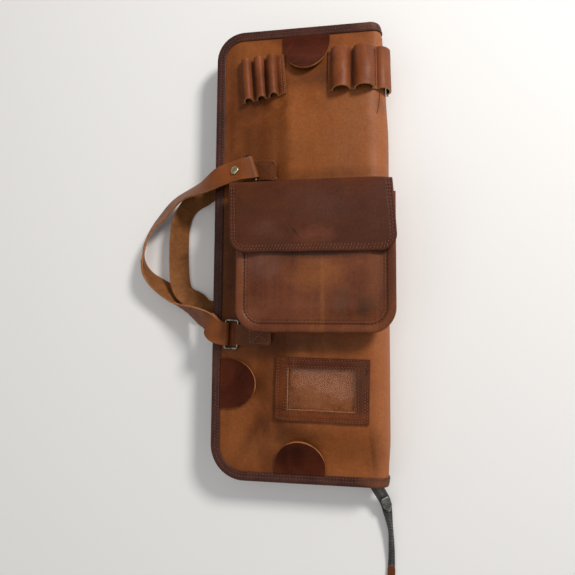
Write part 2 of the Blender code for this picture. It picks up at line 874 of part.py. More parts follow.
def edge_tab(name, root, width, length):
    """A half-round tab: root gives the place and the two directions of its root on the cover."""
    origin, forward, across = root
    rows = []
    turns = [0.0] + [math.radians(turn) for turn in (0, 24, 44, 60, 72, 80)]
    for index, turn in enumerate(turns):
        curved = (1 - edge_tab_straight) * math.sin(turn) / math.sin(turns[-1])
        share = 0.0 if index == 0 else edge_tab_straight + curved
        half = width / 2 * math.cos(turn)
        line = []
        for side in spread(-1.0, 1.0, 6):
            place = origin + forward * length * share + across * half * side
            lift = 2 * gap + edge_tab_leather + edge_tab_rise * share ** 2
            line.append(on_front(round_spine(place.x, place.y), place.y, lift))
        rows.append(line)
    if across.cross(forward).z < 0:
        rows = rows[::-1]
    sheet(name, rows, edge_tab_leather, dark_leather)


def build_edge_tabs():
    inner_end = bag_length / 2 - binding_reach - gap
    inner_side = -bag_width / 2 + binding_reach + gap
    right, ahead = Vector((1, 0, 0)), Vector((0, 1, 0))
    edge_tab("edge_tab_top", (Vector((edge_tab_top_x, inner_end, 0)), -ahead, right),
             edge_tab_top_width, edge_tab_top_length)
    edge_tab("edge_tab_left", (Vector((inner_side, edge_tab_left_y, 0)), right, ahead),
             edge_tab_left_width, edge_tab_left_length)
    edge_tab("edge_tab_bottom", (Vector((edge_tab_bottom_x, -inner_end, 0)), ahead, right),
             edge_tab_bottom_width, edge_tab_bottom_length)


# Loops

def loop_profile(width, height, pitch, wall, end):
    """Places across the strip and heights of its inner face, over all its loops."""
    inner_half = width / 2 - wall
    crown = height - wall
    profile = [(-pitch * loop_count / 2 - wall / 2, 0.0)]
    for index in range(loop_count):
        middle = (index - (loop_count - 1) / 2) * pitch
        for turn in (180, 150, 125, 90, 55, 30, 0):
            angle = math.radians(turn)
            profile.append((middle + inner_half * math.cos(angle), crown * math.sin(angle)))
    profile.append((pitch * loop_count / 2 + end, 0.0))
    return profile


def build_loops(name, sizes, centre, turn):
    width, height, pitch, length, wall, end = sizes
    profile = loop_profile(width, height, pitch, wall, end)
    shifted = []
    for index, (place, rise) in enumerate(profile):
        before, after = profile[max(index - 1, 0)], profile[min(index + 1, len(profile) - 1)]
        slope = Vector((after[0] - before[0], after[1] - before[1]))
        slope.normalize()
        shifted.append((place - slope.y * wall, max(rise + slope.x * wall, wall if rise == 0.0 else 0.0)))
    cosine, sine = math.cos(math.radians(turn)), math.sin(math.radians(turn))

    def place_row(row, along):
        line = []
        for across, rise in row:
            x = centre[0] + across * cosine - along * sine
            y = centre[1] + across * sine + along * cosine
            line.append(on_front(x, y, rise + laid_gap))
        return line

    stations = spread(-length / 2, length / 2, 5)
    outer = [place_row(shifted, along) for along in stations]
    inner = [place_row(profile, along) for along in stations]
    slab(name, outer, inner, dark_leather)


def build_window():
    """A frame cut from one sheet, with its clear pane held in the opening."""
    cosine, sine = math.cos(math.radians(window_turn)), math.sin(math.radians(window_turn))

    def place(across, along, lift):
        x = window_x + across * cosine - along * sine
        y = window_y + across * sine + along * cosine
        return on_front(x, y, lift)

    half_w, half_h = window_width / 2, window_height / 2
    open_w, open_h = window_opening_width / 2, window_opening_height / 2
    corners = ((1, 1), (-1, 1), (-1, -1), (1, -1))
    sections = []
    for index, (sx, sy) in enumerate(corners):
        nx, ny = corners[(index + 1) % 4]
        for share in spread(0.0, 1.0, window_steps)[:-1]:
            cx, cy = sx + (nx - sx) * share, sy + (ny - sy) * share
            sections.append([
                place(cx * half_w, cy * half_h, window_gap), place(cx * open_w, cy * open_h, window_gap),
                place(cx * open_w, cy * open_h, window_gap + window_leather),
                place(cx * half_w, cy * half_h, window_gap + window_leather),
            ])
    sweep("window_frame", sections, dark_leather, closed=True)
    pane_w, pane_h = open_w - 2 * gap, open_h - 2 * gap
    lift = 2 * gap + pane_thickness
    rows = [[place(x, y, lift) for x in spread(-pane_w, pane_w, 8)] for y in spread(-pane_h, pane_h, 4)]
    sheet("window_pane", rows, pane_thickness, clear_film)


# Straps, rings and tabs

def heading_vector(degrees):
    return Vector((math.cos(math.radians(degrees)), math.sin(math.radians(degrees)), 0))


def strap_stations(rows, reach, span, middle_y):
    """Centres and leans of a strap from its table."""
    points, leans = [], []
    for _, out, along, height, lean in rows:
        points.append(Vector((-bag_width / 2 - out * reach, middle_y + along * span / 2, height * strap_width)))
        leans.append(Vector((lean, 0, 0)))
    return points, leans


def folded_end(bar, heading, side, centres, widths):
    """Fold of a strap round its bar and the return under it, from the free end to the top of the bar.

    side is 1 where the strap's outer face is up, and -1 where it is down.
    """
    radius = ring_wire / 2 + gap + strap_leather / 2
    across = heading_vector(heading + 90)
    outward = heading_vector(heading)
    returned, run = [], 0.0
    for index in range(1, len(centres)):
        run += (centres[index] - centres[index - 1]).length
        if run > strap_return:
            break
        ahead = centres[min(index + 1, len(centres) - 1)] - centres[index - 1]
        normal = ahead.cross(widths[index]).normalized()
        if normal.z * side < 0:
            normal = -normal
        apart = strap_leather + gap + (2 * radius - strap_leather - gap) * (1 - ease(run / strap_return_opening))
        returned.append((centres[index] - normal * apart, widths[index]))
    fold = []
    for turn in (180, 140, 90, 40):
        angle = math.radians(turn)
        lifted = up * side * radius * math.cos(angle)
        fold.append((bar + lifted - outward * radius * math.sin(angle), across))
    return returned[::-1] + fold


def strap_path(stations, leans, upper, lower, side):
    """Centres and widths of a whole strap between two bars, without its returns."""
    radius = ring_wire / 2 + gap + strap_leather / 2
    lift = up * side * radius
    points = [upper[0] + lift, *stations, lower[0] + lift]
    turned = [Vector((90 * side, 0, 0)), *leans, Vector((90 * side, 0, 0))]
    path = smooth_path(points, strap_steps)
    turns = smooth_path(turned, strap_steps)
    widths = []
    for index, turn in enumerate(turns):
        ahead = path[min(index + 1, len(path) - 1)] - path[max(index - 1, 0)]
        level = Vector((ahead.x, ahead.y, 0)).normalized()
        inward = Vector((-level.y, level.x, 0))
        lean = math.radians(turn.x)
        across = inward * math.sin(lean) + up * math.cos(lean)
        along = ahead.normalized()
        widths.append((across - along * across.dot(along)).normalized())
    for end, bar in ((0, upper), (-1, lower)):
        across = heading_vector(bar[1] + 90)
        aligned = across if across.dot(widths[end]) > 0 else -across
        widths[end] = aligned
        second = 1 if end == 0 else -2
        widths[second] = (widths[second] + aligned).normalized()
    return path, widths


def build_strap(name, rows, sizes, upper, lower, side):
    reach, span, middle_y = sizes
    stations, leans = strap_stations(rows, reach, span, middle_y)
    path, widths = strap_path(stations, leans, upper, lower, side)
    start = folded_end(upper[0], upper[1], side, path, widths)
    finish_end = folded_end(lower[0], lower[1], side, path[::-1], widths[::-1])
    whole = list(start) + list(zip(path, widths)) + list(finish_end[::-1])
    kept = []
    facing = None
    for centre, across in whole:
        facing = across if facing is None or facing.dot(across) > 0 else -across
        kept.append((centre, facing))
    ribbon(name, [c for c, _ in kept], [a for _, a in kept], strap_width, strap_leather, strap_tan)
    return path, widths


def build_ring(name, strap_bar, tab_bar, heading):
    """A rectangular wire ring with rounded corners through both bars."""
    across = heading_vector(heading + 90)
    half = (strap_width + ring_wire) / 2 + ring_play
    toward = (tab_bar - strap_bar)
    depth = toward.length
    toward.normalize()
    bend = ring_corner
    corners = [(-half, 0.0, 270), (-half, depth, 180), (half, depth, 90), (half, 0.0, 0)]
    path = []
    for x, y, start in corners:
        cx = x + (bend if x < 0 else -bend)
        cy = y + (bend if y <= 0 else -bend)
        for turn in (0, 45, 90):
            angle = math.radians(start - turn)
            path.append((cx + bend * math.cos(angle), cy + bend * math.sin(angle)))
    normal = across.cross(toward).normalized()
    sections = []
    for index, (x, y) in enumerate(path):
        before, after = path[index - 1], path[(index + 1) % len(path)]
        tangent = (across * (after[0] - before[0]) + toward * (after[1] - before[1])).normalized()
        outward = tangent.cross(normal)
        centre = strap_bar + across * x + toward * y
        sections.append([
            centre + (outward * math.cos(angle) + normal * math.sin(angle)) * ring_wire / 2
            for angle in (2 * math.pi * step / wire_sides for step in range(wire_sides))
        ])
    sweep(name, sections, nickel, closed=True)


def build_tab(name, bar, heading, end_heading, length, cover, side):
    """A leather tab folded round its bar, its two layers lying on the cover."""
    radius = ring_wire / 2 + gap + tab_leather / 2
    outward = heading_vector(heading)
    inward = -heading_vector(end_heading)
    layer = tab_leather + gap
    first = 2 * gap + tab_leather / 2
    low, high = [], []
    for share in (1.0, 0.82, 0.6, 0.42, 0.28, 0.16):
        run = length * share
        place = bar - outward * run * (1 - share) + inward * run * share
        turned = math.radians(heading + (end_heading - heading) * min(share * 2, 1.0) + 90)
        across = Vector((math.cos(turned), math.sin(turned), 0))
        opened = 1 - ease(share / tab_opening)
        apart = layer + (2 * radius - layer) * opened
        low.append((cover(place.x, place.y, first), across))
        high.append((cover(place.x, place.y, first + apart), across))
    across = heading_vector(heading + 90)
    bend = []
    for turn in (180, 135, 90, 45, 0):
        angle = math.radians(turn)
        bend.append((bar + up * side * radius * math.cos(angle) + outward * radius * math.sin(angle), across))
    whole = low + bend + high[::-1]
    ribbon(name, [c for c, _ in whole], [a for _, a in whole], tab_width, tab_leather, strap_tan)


def front_cover(x, y, lift):
    return on_front(round_spine(x, y), y, lift)


def tab_bar_at(strap_bar, toward, cover):
    """Centre of the ring's bar that the tab holds, a ring's depth from the strap's bar."""
    lift = 2 * gap + tab_leather + gap + ring_wire / 2
    reach = ring_depth
    for _ in range(12):
        place = strap_bar + toward * reach
        lowered = cover(place.x, place.y, lift)
        rise = lowered.z - strap_bar.z
        reach = math.sqrt(max(ring_depth ** 2 - rise ** 2, (ring_reach_least * ring_depth) ** 2))
    return cover(strap_bar.x + toward.x * reach, strap_bar.y + toward.y * reach, lift)


def stud(name, centre, normal, diameter, height, look):
    """A low domed head on a strap's outer face."""
    side = normal.orthogonal().normalized()
    other = normal.cross(side)
    profile = [(0.90, 0.0), (1.0, 0.22), (0.92, 0.62), (0.55, 1.0)]
    data = bmesh.new()
    rings = []
    for wide, high in profile:
        ring = []
        for step in range(12):
            angle = 2 * math.pi * step / 12
            spoke = side * math.cos(angle) + other * math.sin(angle)
            ring.append(data.verts.new(centre + normal * (gap + high * height) + spoke * diameter / 2 * wide))
        rings.append(ring)
    for low, high in zip(rings, rings[1:]):
        grid_faces(data, [low + [low[0]], high + [high[0]]])
    data.faces.new(rings[0][::-1])
    data.faces.new(rings[-1])
    bmesh.ops.recalc_face_normals(data, faces=data.faces)
    finish(name, data, look)


def strap_face(path, widths, index):
    """Middle of the strap's outer face at one station, and its normal."""
    ahead = path[index + 1] - path[index - 1]
    normal = ahead.cross(widths[index]).normalized()
    leans_in = Vector((-ahead.y, ahead.x, 0)).normalized()
    if normal.dot(leans_in) > 0:
        normal = -normal
    return path[index] + normal * strap_leather / 2, normal


def stud_station(rows, name):
    """Place on the smoothed path of a strap's named row; the bar comes before the first row."""
    return strap_steps * (1 + [row[0] for row in rows].index(name))


def build_handles():
    edge = -bag_width / 2
    upper = front_cover(edge + front_upper_bar_inset, front_upper_bar_y, front_upper_bar_lift)
    lower = front_cover(edge + front_lower_bar_inset, front_lower_bar_y, front_lower_bar_lift)
    sizes = (front_reach, front_span, front_middle_y)
    path, widths = build_strap("handle_front", front_strap_rows, sizes, (upper, front_upper_heading),
                               (lower, front_lower_heading), 1)
    run, index = 0.0, 0
    while run < rivet_from_fold:
        index += 1
        run += (path[index] - path[index - 1]).length
    centre, normal = strap_face(path, widths, index)
    stud("handle_rivet", centre, normal, rivet_diameter, rivet_height, brass)
    centre, normal = strap_face(path, widths, stud_station(front_strap_rows, "stud"))
    stud("handle_stud_front", centre, normal, stud_diameter, stud_height, brass)
    flipped = tab_bar_at(upper, heading_vector(front_upper_heading), front_cover)
    build_ring("ring_front_upper", upper, flipped, front_upper_heading)
    build_tab("ring_tab_front_upper", flipped, front_upper_heading, 180, tab_length_front, front_cover, 1)
    open_bar = tab_bar_at(lower, -heading_vector(front_lower_heading), front_cover)
    build_ring("ring_front_lower", lower, open_bar, front_lower_heading)
    build_tab("ring_tab_front_lower", open_bar, front_lower_heading, 180, tab_length_front, front_cover, 1)

    upper = under_back(edge + back_bar_inset, back_upper_bar_y, back_bar_lift)
    lower = under_back(edge + back_bar_inset, back_lower_bar_y, back_bar_lift)
    sizes = (back_reach, back_span, back_middle_y)
    path, widths = build_strap("handle_back", back_strap_rows, sizes, (upper, back_upper_heading),
                               (lower, back_lower_heading), -1)
    centre, normal = strap_face(path, widths, stud_station(back_strap_rows, "farthest") - 1)
    stud("handle_stud_back", centre, normal, stud_diameter, stud_height, brass)
    for end, bar, heading in (("upper", upper, back_upper_heading), ("lower", lower, back_lower_heading)):
        held = tab_bar_at(bar, -heading_vector(heading), under_back)
        build_ring(f"ring_back_{end}", bar, held, heading)
        build_tab(f"ring_tab_back_{end}", held, heading, 180, tab_length_back, under_back, -1)


shell_grid, shell_tree = build_shell()
build_binding(shell_grid)
build_zip()
build_tail()
build_pocket()
build_flap()
build_edge_tabs()
build_loops("loops_small",
            (small_loop_width, small_loop_height, small_loop_pitch, small_loop_length,
             small_loop_leather, small_loops_end),
            (small_loops_inset - bag_width / 2, bag_length / 2 - small_loops_from_end), small_loops_turn)
build_loops("loops_large",
            (large_loop_width, large_loop_height, large_loop_pitch, large_loop_length,
             large_loop_leather, large_loops_end),
            (bag_width / 2 - large_loops_from_spine, bag_length / 2 - large_loops_from_end), large_loops_turn)
build_window()
build_handles()
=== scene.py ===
# Looks of a leather drumstick bag lying on its back cover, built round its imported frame.
# Metres, +Z up, +Y towards the loops, +X towards the round spine.
import random
from math import asin, copysign, cos, hypot, pi, radians, sin, sqrt

import bmesh
import bpy
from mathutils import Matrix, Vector, noise
from mathutils.bvhtree import BVHTree


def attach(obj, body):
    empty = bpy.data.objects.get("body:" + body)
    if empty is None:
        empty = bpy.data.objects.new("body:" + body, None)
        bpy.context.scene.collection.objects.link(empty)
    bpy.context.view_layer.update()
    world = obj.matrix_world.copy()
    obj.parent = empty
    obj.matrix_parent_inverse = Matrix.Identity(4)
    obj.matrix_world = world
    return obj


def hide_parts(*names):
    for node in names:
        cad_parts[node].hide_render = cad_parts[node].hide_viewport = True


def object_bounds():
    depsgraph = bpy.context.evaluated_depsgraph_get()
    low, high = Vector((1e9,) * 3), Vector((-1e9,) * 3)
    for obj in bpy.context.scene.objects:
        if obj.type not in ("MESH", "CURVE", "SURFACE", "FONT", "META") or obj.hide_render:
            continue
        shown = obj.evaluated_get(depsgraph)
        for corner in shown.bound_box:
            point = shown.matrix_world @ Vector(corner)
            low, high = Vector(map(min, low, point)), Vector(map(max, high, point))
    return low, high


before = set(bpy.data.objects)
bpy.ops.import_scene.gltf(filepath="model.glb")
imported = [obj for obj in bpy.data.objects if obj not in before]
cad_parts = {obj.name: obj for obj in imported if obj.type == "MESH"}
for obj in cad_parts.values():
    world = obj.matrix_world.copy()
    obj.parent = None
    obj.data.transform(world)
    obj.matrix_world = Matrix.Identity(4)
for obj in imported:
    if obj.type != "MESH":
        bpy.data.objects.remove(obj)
cadBox = [list(corner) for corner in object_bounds()]
random.seed(7)
up = Vector((0, 0, 1))
seamGap = 0.0003   # between two pieces that are sewn together
laidGap = 0.0007   # under what is sewn on the cover

# Closed bag, the same sizes as the solids
bag = {
    "length": 0.461,
    "width": 0.1776,
    "thickness": 0.044,
    "edgeThickness": 0.0232,
    "leather": 0.0026,
    "cornerTop": 0.028,
    "cornerBottom": 0.033,
    "endTaper": 0.06,
    "bindingReach": 0.0095,
    "bindingLeather": 0.0012,
    "bindingClearance": 0.00035,
}
# share of the width from the zip edge, and share of the drop towards that edge
edgeTaper = [(0, 1), (0.076, 1), (0.12, 0.91), (0.25, 0.77), (0.36, 0.43), (0.455, 0)]
# share of half the length, and share of the width that the spine draws in
spineDraw = [(-1, 0.018), (-0.96, 0.01), (-0.8, 0), (0.45, 0), (0.72, 0.014), (0.93, 0.03), (0.96, 0.037),
             (1, 0.05)]
# middle and half size as shares of the bag, depth as a share of its leather
coverDents = [(0.4, -0.42, 0.05, 0.11, 0.45), (0.05, -0.215, 0.3, 0.04, 0.25), (0.1, 0.27, 0.26, 0.06, 0.35)]
halfLength, halfWidth, midHeight = bag["length"] / 2, bag["width"] / 2, bag["thickness"] / 2
rimDepth = bag["bindingLeather"] + bag["bindingClearance"]
halfSheet, sheetEdge = halfLength - rimDepth, -halfWidth + rimDepth
taperDrop = (bag["thickness"] - bag["edgeThickness"]) / 2 + rimDepth


def ease(share):
    share = min(max(share, 0.0), 1.0)
    return share * share * (3 - 2 * share)


def spread(low, high, count):
    return [low + (high - low) * index / count for index in range(count + 1)]


def turnsBetween(low, high, count):
    return [radians(turn) for turn in spread(low, high, count)]


def quarterTurn(count):
    # shares of a rounded corner's radius, aside and down
    return [(1 - cos(turn), 1 - sin(turn)) for turn in spread(0, pi / 2, count)]


def noiseAt(x, y, layer, depth):
    return depth * noise.noise(Vector((x, y, layer)))


def alongRows(rows, place):
    if place <= rows[0][0]:
        return rows[0][1]
    for low, high in zip(rows, rows[1:]):
        if place <= high[0]:
            return low[1] + (high[1] - low[1]) * ease((place - low[0]) / (high[0] - low[0]))
    return rows[-1][1]


def aheadAt(path, index):
    return path[min(index + 1, len(path) - 1)] - path[max(index - 1, 0)]


def smoothPath(points, steps):
    path = []
    for index in range(len(points) - 1):
        before, start = points[max(index - 1, 0)], points[index]
        end, after = points[index + 1], points[min(index + 2, len(points) - 1)]
        bend, twist = 2 * before - 5 * start + 4 * end - after, 3 * start - before - 3 * end + after
        for t in spread(0, 1, steps)[:-1]:
            path.append(0.5 * (2 * start + (end - before) * t + bend * t * t + twist * t ** 3))
    path.append(points[-1].copy())
    return path


# Materials

def setInput(tree, socket, value):
    if isinstance(value, bpy.types.NodeSocket):
        tree.links.new(value, socket)
    elif socket.type == "RGBA":
        socket.default_value = (*value, 1.0)
    else:
        socket.default_value = value


def addNode(tree, kind, inputs, **settings):
    node = tree.nodes.new("ShaderNode" + kind)
    for name, value in settings.items():
        setattr(node, name, value)
    for name, value in inputs.items():
        setInput(tree, node.inputs[name], value)
    return node


def newMaterial(name):
    made = bpy.data.materials.new(name)
    made.use_nodes = True
    return made


def placedMaterial(name):
    made = newMaterial(name)
    return made, made.node_tree, addNode(made.node_tree, "TexCoord", {}).outputs["Object"]


def finishMaterial(made, inputs):
    for name, value in inputs.items():
        setInput(made.node_tree, made.node_tree.nodes["Principled BSDF"].inputs[name], value)
    return made


def noiseNode(tree, vector, scale, detail=3.0, roughness=0.55, distortion=0.0):
    sockets = {"Vector": vector, "Scale": scale, "Detail": detail, "Roughness": roughness,
               "Distortion": distortion}
    return addNode(tree, "TexNoise", sockets).outputs["Fac"]


def rampNode(tree, value, *stops):
    node = addNode(tree, "ValToRGB", {"Fac": value})
    elements = node.color_ramp.elements
    while len(elements) < len(stops):
        elements.new(0.5)
    for element, (place, colour) in zip(elements, stops):
        element.position = place
        element.color = (*colour, 1.0)
    return node.outputs["Color"]


def mixNode(tree, share, first, second, blend="MIX"):
    sockets = {"Factor": share, 6: first, 7: second}
    return addNode(tree, "Mix", sockets, data_type="RGBA", blend_type=blend).outputs[2]


def rangeNode(tree, value, fromLow, fromHigh, toLow, toHigh):
    sockets = {"Value": value, "From Min": fromLow, "From Max": fromHigh, "To Min": toLow, "To Max": toHigh}
    return addNode(tree, "MapRange", sockets).outputs["Result"]


def mathNode(tree, operation, first, second):
    return addNode(tree, "Math", {0: first, 1: second}, operation=operation).outputs["Value"]


def bumpNode(tree, height, strength, distance):
    sockets = {"Height": height, "Strength": strength, "Distance": distance}
    return addNode(tree, "Bump", sockets).outputs["Normal"]


leatherColumns = ("dark", "base", "light", "patches", "streaks", "streakShare", "rough", "wear", "shine")
leatherRows = {
    "coverTan": ((0.072, 0.0165, 0.0026), (0.211, 0.0574, 0.0114), (0.297, 0.0945, 0.0234),
                 13, (26, 9, 20), 0.35, (0.42, 0.6), 0.25, 0.16),
    "bindingBrown": ((0.0258, 0.0077, 0.0052), (0.0533, 0.0147, 0.00884), (0.0903, 0.0294, 0.0172),
                     30, (60, 60, 60), 0.2, (0.4, 0.56), 0.5, 0.2),
    "flapBrown": ((0.0473, 0.0126, 0.00442), (0.0757, 0.0189, 0.00676), (0.116, 0.0322, 0.0109),
                  14, (20, 60, 20), 0.25, (0.36, 0.52), 0.3, 0.15),
    "pocketBrown": ((0.0688, 0.0161, 0.0052), (0.129, 0.0315, 0.00936), (0.202, 0.0616, 0.0151),
                    17, (110, 9, 20), 0.3, (0.34, 0.5), 0.35, 0.2),
    "pocketEdge": ((0.0387, 0.0098, 0.00416), (0.0903, 0.0252, 0.00936), (0.172, 0.056, 0.0198),
                   50, (90, 90, 90), 0.3, (0.45, 0.6), 0.2, 0.2),
    "strapDark": ((0.0533, 0.0126, 0.00312), (0.107, 0.028, 0.00624), (0.172, 0.0504, 0.0125),
                  30, (40, 40, 30), 0.3, (0.4, 0.56), 0.5, 0.2),
    "tabRed": ((0.032, 0.0062, 0.0025), (0.064, 0.012, 0.0045), (0.104, 0.0235, 0.0085),
               26, (30, 30, 30), 0.2, (0.46, 0.62), 0.3, 0.07),
    "loopTan": ((0.0903, 0.021, 0.00468), (0.176, 0.0434, 0.0104), (0.258, 0.0735, 0.0198),
                40, (40, 14, 30), 0.4, (0.42, 0.58), 0.5, 0.2),
    "windowBrown": ((0.0447, 0.0105, 0.0039), (0.0843, 0.0196, 0.00624), (0.146, 0.0385, 0.0114),
                    34, (60, 60, 30), 0.25, (0.42, 0.58), 0.4, 0.12),
    "strapTan": ((0.0817, 0.0182, 0.00312), (0.168, 0.0406, 0.00728), (0.267, 0.0805, 0.0182),
                 30, (40, 40, 30), 0.35, (0.4, 0.56), 0.5, 0.2),
    "strapFlesh": ((0.0989, 0.0315, 0.00676), (0.194, 0.0686, 0.0177), (0.284, 0.115, 0.0338),
                   36, (120, 120, 60), 0.45, (0.62, 0.8), 0.2, 0.2),
    "darkFlesh": ((0.0301, 0.0098, 0.00312), (0.0645, 0.021, 0.00676), (0.112, 0.0406, 0.0135),
                  36, (80, 80, 60), 0.3, (0.62, 0.8), 0.1, 0.2),
    "cutEdge": ((0.172, 0.0525, 0.0146), (0.31, 0.115, 0.039), (0.447, 0.203, 0.0806),
                70, (200, 200, 200), 0.4, (0.6, 0.78), 0.2, 0.2),
    "paleEdge": ((0.22, 0.095, 0.036), (0.42, 0.22, 0.1), (0.6, 0.38, 0.21),
                 90, (200, 200, 200), 0.4, (0.6, 0.78), 0.2, 0.2),
    "darkEdge": ((0.0103, 0.00385, 0.00208), (0.0224, 0.007, 0.00364), (0.0602, 0.0189, 0.0078),
                 60, (200, 200, 200), 0.3, (0.45, 0.6), 0.2, 0.2),
}
# across the cover's width: lighter towards the spine, a painted highlight where the spine starts to round and
# painted shade at the zip edge; where each starts and ends, strength and colour
coverPaintedLightAndShade = [
    (0.02, 0.088, 0.55, (0.3, 0.092, 0.028)),
    (0.067, 0.079, 0.45, (0.37, 0.135, 0.055)),
    (-0.045, -0.08, 0.35, (0.12, 0.032, 0.006)),
]
# soft marks on the leather's colour, stains and tone, with painted shadows and painted sheens where noted:
# middle, half sizes and turn on the plan, colour and strength
leatherMarksAndPaintedLight = {
    "coverTan": [
        ((-0.048, 0.112), (0.036, 0.05), 0, (0.088, 0.0225, 0.0034), 0.75),
        # painted shadows of the pocket, on its left and below it, in these two rows
        ((-0.07, 0), (0.02, 0.09), 0, (0.05, 0.014, 0.0026), 0.75),
        ((-0.03, -0.105), (0.045, 0.016), 0, (0.11, 0.03, 0.005), 0.5),
        ((-0.064, -0.185), (0.02, 0.034), 0, (0.24, 0.072, 0.015), 0.55),
        ((0.0236, -0.1383), (0.04, 0.026), -1, (0.42, 0.17, 0.072), 0.75),
        ((0.055, 0.12), (0.034, 0.07), 0, (0.29, 0.1, 0.034), 0.55),
        ((0.01, 0.105), (0.05, 0.022), 8, (0.2, 0.062, 0.014), 0.4),
        ((0.079, 0.141), (0.01, 0.014), 0, (0.12, 0.036, 0.01), 0.45),
        ((-0.02, -0.195), (0.045, 0.02), 10, (0.25, 0.083, 0.022), 0.55),
        ((0.072, -0.195), (0.012, 0.026), 0, (0.13, 0.04, 0.01), 0.45),
        # painted shadows beside the bottom tab and the left tab, in these three rows
        ((-0.003, -0.178), (0.034, 0.018), -12, (0.075, 0.019, 0.0035), 0.7),
        ((-0.036, -0.132), (0.016, 0.032), 0, (0.095, 0.025, 0.0045), 0.6),
        ((-0.028, -0.208), (0.012, 0.018), 0, (0.085, 0.022, 0.004), 0.5),
        # painted shadows below the top tab and beside the loops, in these four rows
        ((0.008, 0.17), (0.03, 0.014), 0, (0.09, 0.024, 0.0045), 0.6),
        ((-0.045, 0.148), (0.032, 0.012), 5, (0.085, 0.022, 0.004), 0.6),
        ((0.028, 0.176), (0.01, 0.03), 0, (0.075, 0.019, 0.0035), 0.6),
        ((-0.07, 0.176), (0.009, 0.028), 5, (0.075, 0.019, 0.0035), 0.5),
        # painted shadow below the pocket, and painted shadow above the flap's fold, in these two rows
        ((-0.005, -0.093), (0.08, 0.01), 0, (0.06, 0.016, 0.003), 0.6),
        ((0.02, 0.07), (0.08, 0.009), 2, (0.085, 0.022, 0.004), 0.45),
    ],
    "bindingBrown": [
        ((0.078, -0.226), (0.02, 0.008), 0, (0.21, 0.07, 0.026), 0.8),
        ((0.07, 0.227), (0.02, 0.007), 0, (0.15, 0.055, 0.026), 0.6),
    ],
    "windowBrown": [
        ((-0.016, -0.14), (0.012, 0.034), 0, (0.175, 0.043, 0.0075), 0.85),
        ((0.015, -0.163), (0.044, 0.009), 0, (0.165, 0.04, 0.0075), 0.75),
        ((0.062, -0.13), (0.012, 0.03), 0, (0.085, 0.034, 0.018), 0.6),
    ],
    "loopTan": [
        ((0.088, 0.178), (0.01, 0.03), 0, (0.24, 0.07, 0.022), 0.5),
        ((-0.056, 0.176), (0.01, 0.03), 0, (0.19, 0.052, 0.01), 0.45),
    ],
    "flapBrown": [
        ((0.0015, 0.01), (0.0058, 0.0013), -48, (0.02, 0.008, 0.005), 0.85),
        ((0.0315, 0.0128), (0.002, 0.0022), 0, (0.022, 0.008, 0.005), 0.75),
        ((0.022, 0.0065), (0.02, 0.009), 4, (0.15, 0.044, 0.022), 0.65),
        # painted sheen
        ((0.027, 0.035), (0.034, 0.02), 0, (0.095, 0.035, 0.022), 0.5),
        ((-0.045, 0.042), (0.024, 0.03), 0, (0.082, 0.022, 0.005), 0.7),
        ((-0.025, 0.012), (0.018, 0.012), 0, (0.105, 0.04, 0.024), 0.45),
        ((0.075, 0.03), (0.026, 0.034), 0, (0.085, 0.024, 0.013), 0.6),
    ],
    "pocketBrown": [
        ((0.021, -0.03), (0.03, 0.022), 0, (0.245, 0.077, 0.017), 0.62),
        ((0.027, -0.045), (0.0025, 0.05), 0, (0.27, 0.095, 0.024), 0.35),
        # painted shadow under the flap's lower edge
        ((0.018, -0.0105), (0.09, 0.005), 0, (0.04, 0.011, 0.0035), 0.8),
        ((0.084, -0.03), (0.012, 0.05), 0, (0.085, 0.022, 0.006), 0.6),
        # painted sheen
        ((-0.032, -0.018), (0.024, 0.024), 0, (0.15, 0.062, 0.04), 0.65),
        ((-0.04, -0.066), (0.015, 0.016), 30, (0.22, 0.072, 0.027), 0.55),
        ((0, -0.064), (0.026, 0.016), 0, (0.19, 0.056, 0.022), 0.5),
        ((0.043, -0.058), (0.008, 0.019), 0, (0.075, 0.034, 0.018), 0.65),
        ((0.066, -0.062), (0.013, 0.011), 30, (0.04, 0.02, 0.006), 0.75),
        ((0.072, -0.028), (0.013, 0.03), 0, (0.15, 0.042, 0.011), 0.6),
        ((-0.053, -0.045), (0.006, 0.052), 0, (0.19, 0.056, 0.02), 0.5),
    ],
}


